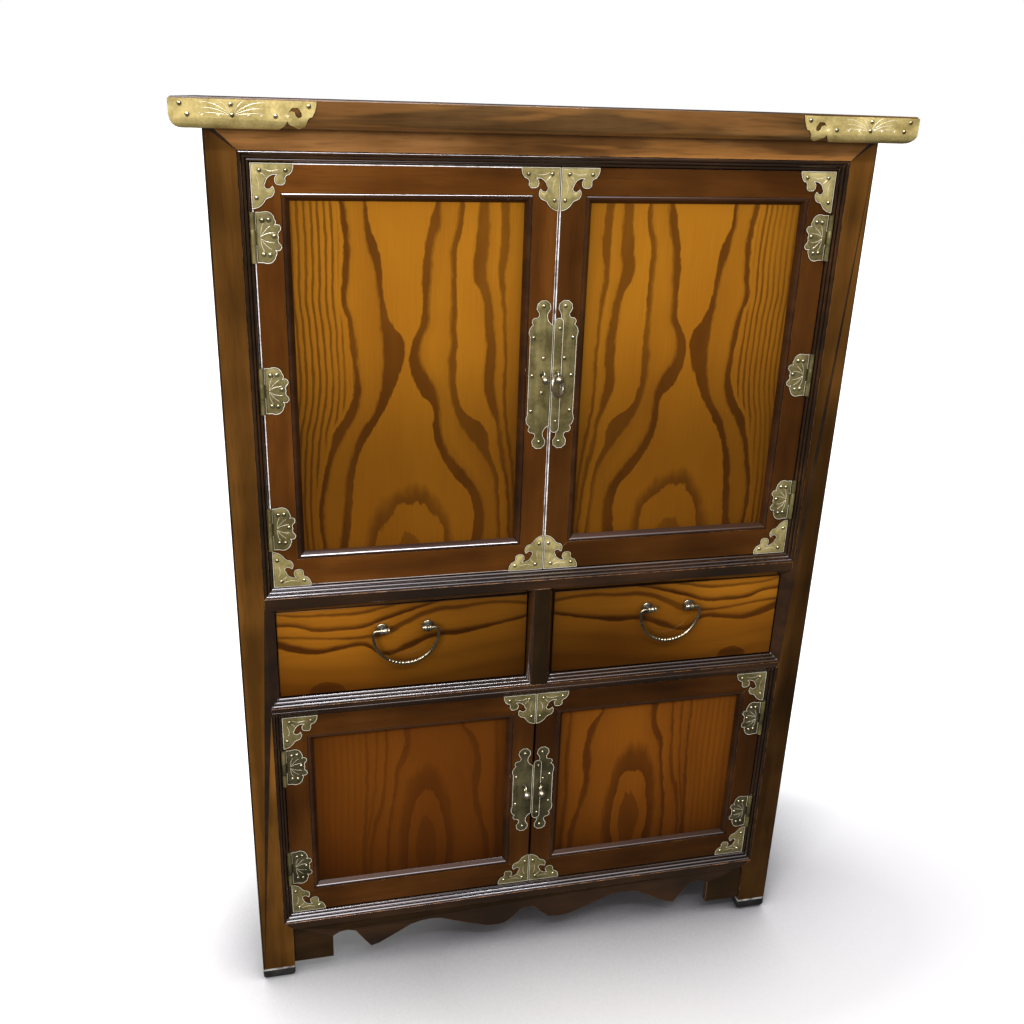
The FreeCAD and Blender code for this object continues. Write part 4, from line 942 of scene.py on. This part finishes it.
def spans(node):
    """Limits of a node across and up, in mm."""
    low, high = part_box(node)
    return [(low[k] / MM, high[k] / MM) for k in (0, 2)]


def on_wood(x, z, side, up):
    """Places for a plate that starts at x, z in mm, runs to side and up, and lies on the door's face."""
    return lambda u, v, height: Vector(((x + side * u) * MM, face_y - height * MM, (z + up * v) * MM))


def raised(place, base, shift=0):
    return lambda u, v, height: place(u + shift, v, base + height)


def dress_corners(piece, corners, material):
    """Corner plates in a door's corners; gives the places of their nails."""
    nails = []
    outline = traced((0, 0), sized(corner_steps, *plate_size))
    for x, z, run, up in corners:
        place = on_wood(x, z, run, up)
        piece.plate(outline, place, material)
        top = raised(place, plate_thickness)
        piece.strokes(corner_strokes, top)
        nails += [(top(u * plate_size[0], v * plate_size[1], 0), 1.0) for u, v in corner_nails]
    return nails


def dress_leaves(piece, hinge, heights, side, material):
    """Hinge leaves with their middle knuckles and washers; gives the places of their nails."""
    nails = []
    hinge_x = hinge["pos_m"][0] / MM
    half_steps = sized(leaf_half_steps, *leaf_size)
    start = (0, leaf_size[1] / 2)
    outline = traced(start, half_steps + retraced(start, half_steps, lambda u, v: (u, -v)))
    third = leaf_size[1] / 6
    clear = knuckle_radius + knuckle_clearance
    tongue = third - knuckle_gap
    outline = [(u if u > 0.001 else clear, v) for u, v in outline]
    outline += [(clear, -tongue), (0.0, -tongue), (0.0, tongue), (clear, tongue)]
    for z in heights:
        place = on_wood(hinge_x, z, -side, 1)
        piece.plate(outline, place, material)
        top = raised(place, plate_thickness)
        for sign in (1, -1):
            piece.strokes([[(u, sign * v) for u, v in line] for line in leaf_strokes], top)
        length = 2 * tongue
        foot = Vector((hinge_x * MM, hinge["pos_m"][1], (z - tongue) * MM))
        piece.lathe([(2.0, 0), (2.8, 0), (3.0, 0.3), (3.0, length - 0.3), (2.8, length), (2.0, length)],
                    foot, (0, 0, 1), material, 16)
        for u, v in leaf_nails:
            at = top(u * leaf_size[0], v * leaf_size[1], 0)
            nails.append((at, 1.0))
            piece.lathe([(washer_radius, -0.1), (washer_radius, 0.25), (washer_radius - 0.5, 0.45),
                         (nail_radius, 0.15)], at, (0, -1, 0), material, 18)
    return nails


def dress_lock(piece, tier, side, inner_x, middle, material):
    """Lock plate, with a cover strip on the right; gives the places of their nails."""
    reach = lock_reach[tier]
    end = [tuple((u * lock_width, reach - v * lock_width) for u, v in step) for step in lock_end_steps]
    start = (0, reach - lock_gap_share * lock_width)
    last_u, last_v = end[-1][-1]
    steps = end + [((last_u, -last_v),)] + retraced(start, end, lambda u, v: (u, -v))
    place = on_wood(inner_x, middle, side, 1)
    piece.plate(traced(start, steps), place, material)
    top = raised(place, plate_thickness)
    shares = upper_lock_nails if tier == "upper" else lower_lock_nails
    if side > 0:
        shares = shares + right_nails
    elif tier == "upper":
        shares = shares + upper_left_nails
    nails = [(top(u * lock_width, v * reach, 0), 1.0) for u, v in shares]
    if side > 0:
        width, thick = strip_size
        round_end = width / 2
        full = reach - strip_shortfall
        straight = full - round_end
        steps = [((width, straight),), ((round_end, straight + round_end), (0, straight)), ((0, -straight),),
                 ((round_end, -straight - round_end), (width, -straight))]
        shift = strip_start - inner_x
        piece.plate(traced((width, -straight), steps, 12), raised(top, 0, shift), material, thick)
        over = raised(top, thick, shift)
        nails += [(over(u * width, v * full, 0), strip_nail_size) for u, v in strip_nails]
    return nails


def eye_of(tier, side):
    eye = Vector(joints["ring_swing"]["pos_m"])
    eye.x = side * eye.x - (right_eye_shift[tier] * MM if side > 0 else 0)
    if tier == "lower":
        low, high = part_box("lower_left_lock")
        eye.z = (low[2] + high[2]) / 2 + lower_eye_rise * MM
    return eye


def dress_eye(piece, eye):
    """Eye on a stem, with a ball in front of it."""
    stations = []
    for k in range(24):
        turn = math.tau * k / 24
        across = Vector((0, math.cos(turn), math.sin(turn)))
        stations.append((eye + across * eye_radius * MM, across, Vector((1, 0, 0)), eye_wire))
    piece.tube(stations, bail_brass, 10, True)
    foot = eye + Vector((0, eye_radius * MM, 0))
    stem = (face_y - foot.y) / MM
    piece.lathe([(1.9, 0), (2.2, 0.4), (2.2, stem - 2.2), (3.4, stem - 1.6), (3.6, stem - 1.25)],
                foot, (0, 1, 0), dark_brass, 14)
    ball = [(ball_radius * math.cos(math.radians(a)), ball_radius * math.sin(math.radians(a)))
            for a in range(-84, 79, 18)]
    piece.lathe([(0.9, -ball_radius - 0.5)] + ball,
                eye - Vector((0, ball_reach, ball_drop)) * MM, (0, 1, 0), ring_brass, 18)


def dress_door(tier, side_name):
    door = tier + "_" + side_name
    body = door + "_door"
    side = 1 if side_name == "right" else -1
    (x0, x1), (z0, z1) = spans(door + "_door_frame")
    inner_x, outer_x = (x0, x1) if side > 0 else (x1, x0)
    # Lighter brass on the upper doors and darker on the lower ones: painted light
    plate_brass, leaf_brass = (lit_upper_brass, aged_brass) if tier == "upper" else (aged_brass, shaded_low_brass)

    piece = Piece([plate_brass, worn_and_highlight_brass, dark_brass])
    corners = [(x, z, run, up) for x, run in ((inner_x, side), (outer_x, -side))
               for z, up in ((z0, 1), (z1, -1))]
    nails = dress_corners(piece, corners, plate_brass)
    piece.done(door + "_corners", body, (door + "_corner_plates",))

    piece = Piece([leaf_brass, worn_and_highlight_brass, dark_brass])
    heights = [z0 + hinge_offset, z1 - hinge_offset] + ([(z0 + z1) / 2] if tier == "upper" else [])
    nails += dress_leaves(piece, joints[door + "_door_hinge"], heights, side, leaf_brass)
    piece.done(door + "_leaves", body, (door + "_hinge_leaves",))

    piece = Piece([leaf_brass, worn_and_highlight_brass, dark_brass, ring_brass, bail_brass])
    lock_z0, lock_z1 = spans(door + "_lock")[1]
    nails += dress_lock(piece, tier, side, inner_x, (lock_z0 + lock_z1) / 2, leaf_brass)
    dress_eye(piece, eye_of(tier, side))
    piece.done(door + "_lock_dressed", body, (door + "_lock",))

    piece = Piece([nail_brass])
    for place, size in nails:
        piece.nail(place, (0, -1, 0), size)
    piece.done(door + "_nails", body, (), 50.0)


for tier in ("upper", "lower"):
    for side_name in ("left", "right"):
        dress_door(tier, side_name)

# Ring
eye = eye_of("upper", 1)
turn = Matrix.Rotation(math.radians(-ring_lean), 3, "X") @ Matrix.Rotation(math.radians(ring_turn), 3, "Z")
piece = Piece([ring_brass])
stations = []
for k in range(48):
    angle = math.tau * k / 48
    across = Vector((math.cos(angle), 0, math.sin(angle)))
    centre = across * ring_radius - Vector((0, 0, ring_radius))
    stations.append((eye + turn @ centre * MM, turn @ across, turn @ Vector((0, 1, 0)), ring_wire))
piece.tube(stations, ring_brass, 14, True)
piece.done("lock_ring_round", "ring", ("lock_ring",))


# Bails and their posts
def dress_drawer(side_name):
    pivot = Vector(joints[side_name + "_handle_swing"]["pos_m"])
    piece = Piece([dark_brass, bail_brass, ring_brass])
    for side in (-1, 1):
        foot = pivot + Vector((side * post_x, post_reach, -rosette_drop)) * MM
        piece.lathe([(8.8, 0), (8.8, 0.7), (8.4, 1.05), (7.9, 1.1)], foot, (0, -1, 0), bail_brass, 32)
        piece.lathe([(7.9, 0.9), (7.2, 1.7), (5.6, 2.5), (4.2, 2.8), (3.6, 3.4), (3.2, 4.6), (3.2, post_reach)],
                    foot, (0, -1, 0), dark_brass, 24)
        start, end = barrel_span
        length = end - start
        rings = [(1.78, 0), (3.3, 0), (3.9, 0.35), (4.1, 1.0), (3.9, 1.7), (3.2, 2.0), (3.3, 3.4), (3.8, 4.3),
                 (4.0, 5.1), (3.8, 5.9), (3.3, 6.8), (3.3, 8.4), (3.2, length - 2.3), (3.9, length - 1.9),
                 (4.1, length - 1.1), (3.9, length - 0.4), (3.3, length), (1.78, length)]
        piece.lathe(rings, pivot + Vector((side * start, 0, 0)) * MM, (side, 0, 0), ring_brass, 20)
    piece.done(side_name + "_posts_turned", side_name + "_drawer", (side_name + "_bail_posts",))

    piece = Piece([bail_brass])
    corner_x = math.sqrt((bow_radius - bow_corner) ** 2 - (bow_corner - bow_drop) ** 2)
    meeting = math.atan2(corner_x, bow_drop - bow_corner)
    half = [((bow_pin, 0), 0, 0)]
    half += [((corner_x, -bow_corner), bow_corner, meeting * k / 8) for k in range(8)]
    half += [((0, -bow_drop), bow_radius, meeting + (math.pi - meeting) * k / 90) for k in range(91)]
    stations = []
    for side, order in ((1, half), (-1, half[-2::-1])):
        for (cx, cz), radius, turn in order:
            across = Vector((side * math.sin(turn), 0, math.cos(turn)))
            from_foot = (math.pi - turn) / math.radians(bow_swell_turn)
            swell = math.cos(math.pi / 2 * min(1, from_foot))
            thick = bow_wire + (bow_belly - bow_wire) * swell
            if from_foot < bow_rib_end:
                rib = math.cos(turn * bow_radius * math.tau / bow_rib_pitch)
                thick *= 1 - bow_rib_depth * (0.5 + 0.5 * rib)
            centre = pivot + (Vector((side * cx, 0, cz)) + across * radius) * MM
            stations.append((centre, across, Vector((0, 1, 0)), thick))
    piece.tube(stations, bail_brass, 14)
    piece.done(side_name + "_bail_wrought", side_name + "_handle", (side_name + "_bail",))


# Caps of the top board
def dress_cap(side_name):
    side = 1 if side_name == "right" else -1
    node = "top_cap_" + side_name
    low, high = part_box(node)
    top_z = high[2] / MM + cap_over_top
    end_x = (high[0] if side > 0 else -low[0]) / MM
    front_y = low[1] / MM
    bm = solids(nodes[node].data)
    bevelled(bm, [edge for edge in bm.edges if len(edge.link_faces) == 2
                  and edge.calc_face_angle(0) > math.radians(cap_arris)], cap_bevel)
    piece = Piece([cap_brass, worn_and_highlight_brass, nail_brass], bm)

    def front(u, v, height):
        return Vector((side * (end_x - u), front_y - height, top_z - v)) * MM

    share, drop, flatness = cap_spray
    for sign in (-1, 1):
        piece.strokes([[(share * cap_front + sign * u, drop + v * flatness) for u, v in line]
                       for line in cap_strokes], front, 0.65, 0.14, 8)
    for at in cap_ticks:
        for lean in tick_leans:
            tip = (at * cap_front + lean, tick_drops[1] + abs(lean) * 0.5)
            piece.rib([(at * cap_front, tick_drops[0]), tip], front, 0.6, 0.12)
    for drop, shares in cap_nail_rows:
        for share in shares:
            piece.nail(front(share * cap_front, drop, 0), (0, -1, 0))
        for share in cap_side_nails:
            at = Vector((side * end_x, front_y + cap_side_start + share * cap_side, top_z - drop)) * MM
            piece.nail(at, (side, 0, 0))
    piece.done(node + "_dressed", "carcass", (node,), 40.0)


for side_name in ("left", "right"):
    dress_drawer(side_name)
for side_name in ("left", "right"):
    dress_cap(side_name)


# Foot pads, with a pale rim under the posts
def dress_pads():
    bm = solids(nodes["foot_pads"].data)
    top = max(vert.co.z for vert in bm.verts)
    bevelled(bm, [edge for edge in bm.edges if edge.calc_face_angle(0) > math.radians(pad_arris)
                  and min(vert.co.z for vert in edge.verts) < top - pad_edge * MM], pad_edge, 3)
    level = Vector((0, 0, top - pad_rim_height * MM))
    bmesh.ops.bisect_plane(bm, geom=bm.verts[:] + bm.edges[:] + bm.faces[:], plane_co=level,
                           plane_no=(0, 0, 1))
    for face in bm.faces:
        face.material_index = 1 if face.calc_center_median().z > level.z else 0
    Piece([pad_rubber, pad_rim], bm).done("foot_pads_rounded", "carcass", ("foot_pads",))


dress_pads()


# Floor, light and camera
def stage_floor():
    """Pale floor with the chest's soft shadow painted into its colour, and a painted glow that lifts it to
    white away from the chest's foot.
    """
    shade = Shade("studio_floor")
    cloud = shade.noise(shade.place, 1.6, 2.0, 0.5)
    colour = shade.ramp(cloud, ((0.3, (0.86, 0.86, 0.87)), (0.7, (0.9, 0.9, 0.91))))
    # Painted shadow: darker where the chest closes the floor in
    shadow = shade.ramp(shade.openness(painted_floor_shadow), ((0.4, (0.12, 0.12, 0.13)), (0.95, (1.0, 1.0, 1.0))))
    colour = shade.mix(1.0, colour, shadow, "MULTIPLY")
    x, y, _ = shade.split()
    # Painted light: the floor glows, up to white, outside an ellipse round the chest's foot
    beside, behind = [shade.madd(value, 1 / radius, -middle / radius)
                      for value, radius, middle in zip((x, y), painted_shadow_radii, painted_shadow_centre)]
    reach = shade.math("SQRT", shade.madd(beside, beside, shade.times(behind, behind)))
    painted_glow = shade.ramp(shade.times(reach, 0.5), ((0.22, 0.0), (0.4, 0.25), (0.6, 1.0)))
    material = shade.surface(Base_Color=colour, Roughness=shade.ramp(cloud, ((0.3, 0.6), (0.7, 0.7))),
                             Specular_IOR_Level=0.1, Emission_Color=(1.0, 1.0, 1.0), Emission_Strength=painted_glow)
    bm = bmesh.new()
    bmesh.ops.create_circle(bm, cap_ends=True, radius=60.0, segments=96)
    floor = new_object("studio_floor", bm, [material])
    floor.visible_glossy = False
    floor.visible_diffuse = False


stage_floor()


def area_light(name, place, target, size, power, colour, mirrored):
    light = bpy.data.lights.new(name, "AREA")
    light.shape = "RECTANGLE"
    light.size, light.size_y = size
    light.energy = power
    light.color = colour
    lamp = bpy.data.objects.new(name, light)
    lamp.location = place
    lamp.rotation_euler = (Vector(target) - Vector(place)).to_track_quat("-Z", "Y").to_euler()
    lamp.visible_glossy = mirrored
    scene.collection.objects.link(lamp)


area_light("key", (-1.45, -2.1, 1.15), (-0.1, -0.2, 0.9), (1.2, 1.2), 44.0, (1.0, 0.95, 0.87), False)
area_light("ceiling_strip", (-0.5, -2.0, 2.9), (-0.3, -0.2, 0.7), (2.6, 0.16), 46.0, (0.97, 0.96, 1.0), True)
area_light("right_fill", (0.95, -1.15, 1.95), (0.35, -0.2, 1.2), (0.8, 0.4), 7.5, (1.0, 0.95, 0.88), False)


def studio_world():
    """White behind the chest; the room that lights it is soft, and its ceiling shows bright in the lacquer."""
    world = bpy.data.worlds.new("studio")
    world.use_nodes = True
    scene.world = world
    shade = Nodes(world.node_tree, "Generated")
    x, _, z = shade.split()

    def sky(*stops):
        return shade.ramp(z, [(at, (value, value, value * 1.04)) for at, value in stops])

    soft = sky((0.0, 0.2), (0.3, 0.45), (1.0, 0.62))
    shown = sky((0.42, 0.0), (0.56, 0.9), (0.8, 0.55), (0.845, 1.0), (0.9, 1.0), (0.93, 0.0))
    aside = shade.ramp(shade.madd(x, 0.5, 0.5), ((0.44, 1.0), (0.56, 0.36), (0.72, 0.03)))
    shown = shade.vec("MULTIPLY", shown, aside)
    shown = shade.vec("MULTIPLY_ADD", shown, window_light, room_light)
    path = shade.add("LightPath", {}).outputs
    colour = shade.mix(path["Is Glossy Ray"], soft, shown)
    colour = shade.mix(path["Is Camera Ray"], colour, (1.0, 1.0, 1.0))
    shade.give(world.node_tree.nodes["Background"].inputs["Color"], colour)


studio_world()
scene.view_settings.view_transform = "Standard"

camera_data = bpy.data.cameras.new("photo_camera")
camera_data.sensor_width = sensor_width
camera_data.lens = sensor_width * lens_share
camera_data.shift_x, camera_data.shift_y = lens_shift
camera = bpy.data.objects.new("photo_camera", camera_data)
scene.collection.objects.link(camera)
forward = Vector(camera_forward).normalized()
right = Vector(camera_right)
right = (right - forward * right.dot(forward)).normalized()
turn = Matrix((right, right.cross(forward), -forward)).transposed()
camera.matrix_world = Matrix.Translation(camera_place) @ turn.to_4x4()
scene.camera = camera
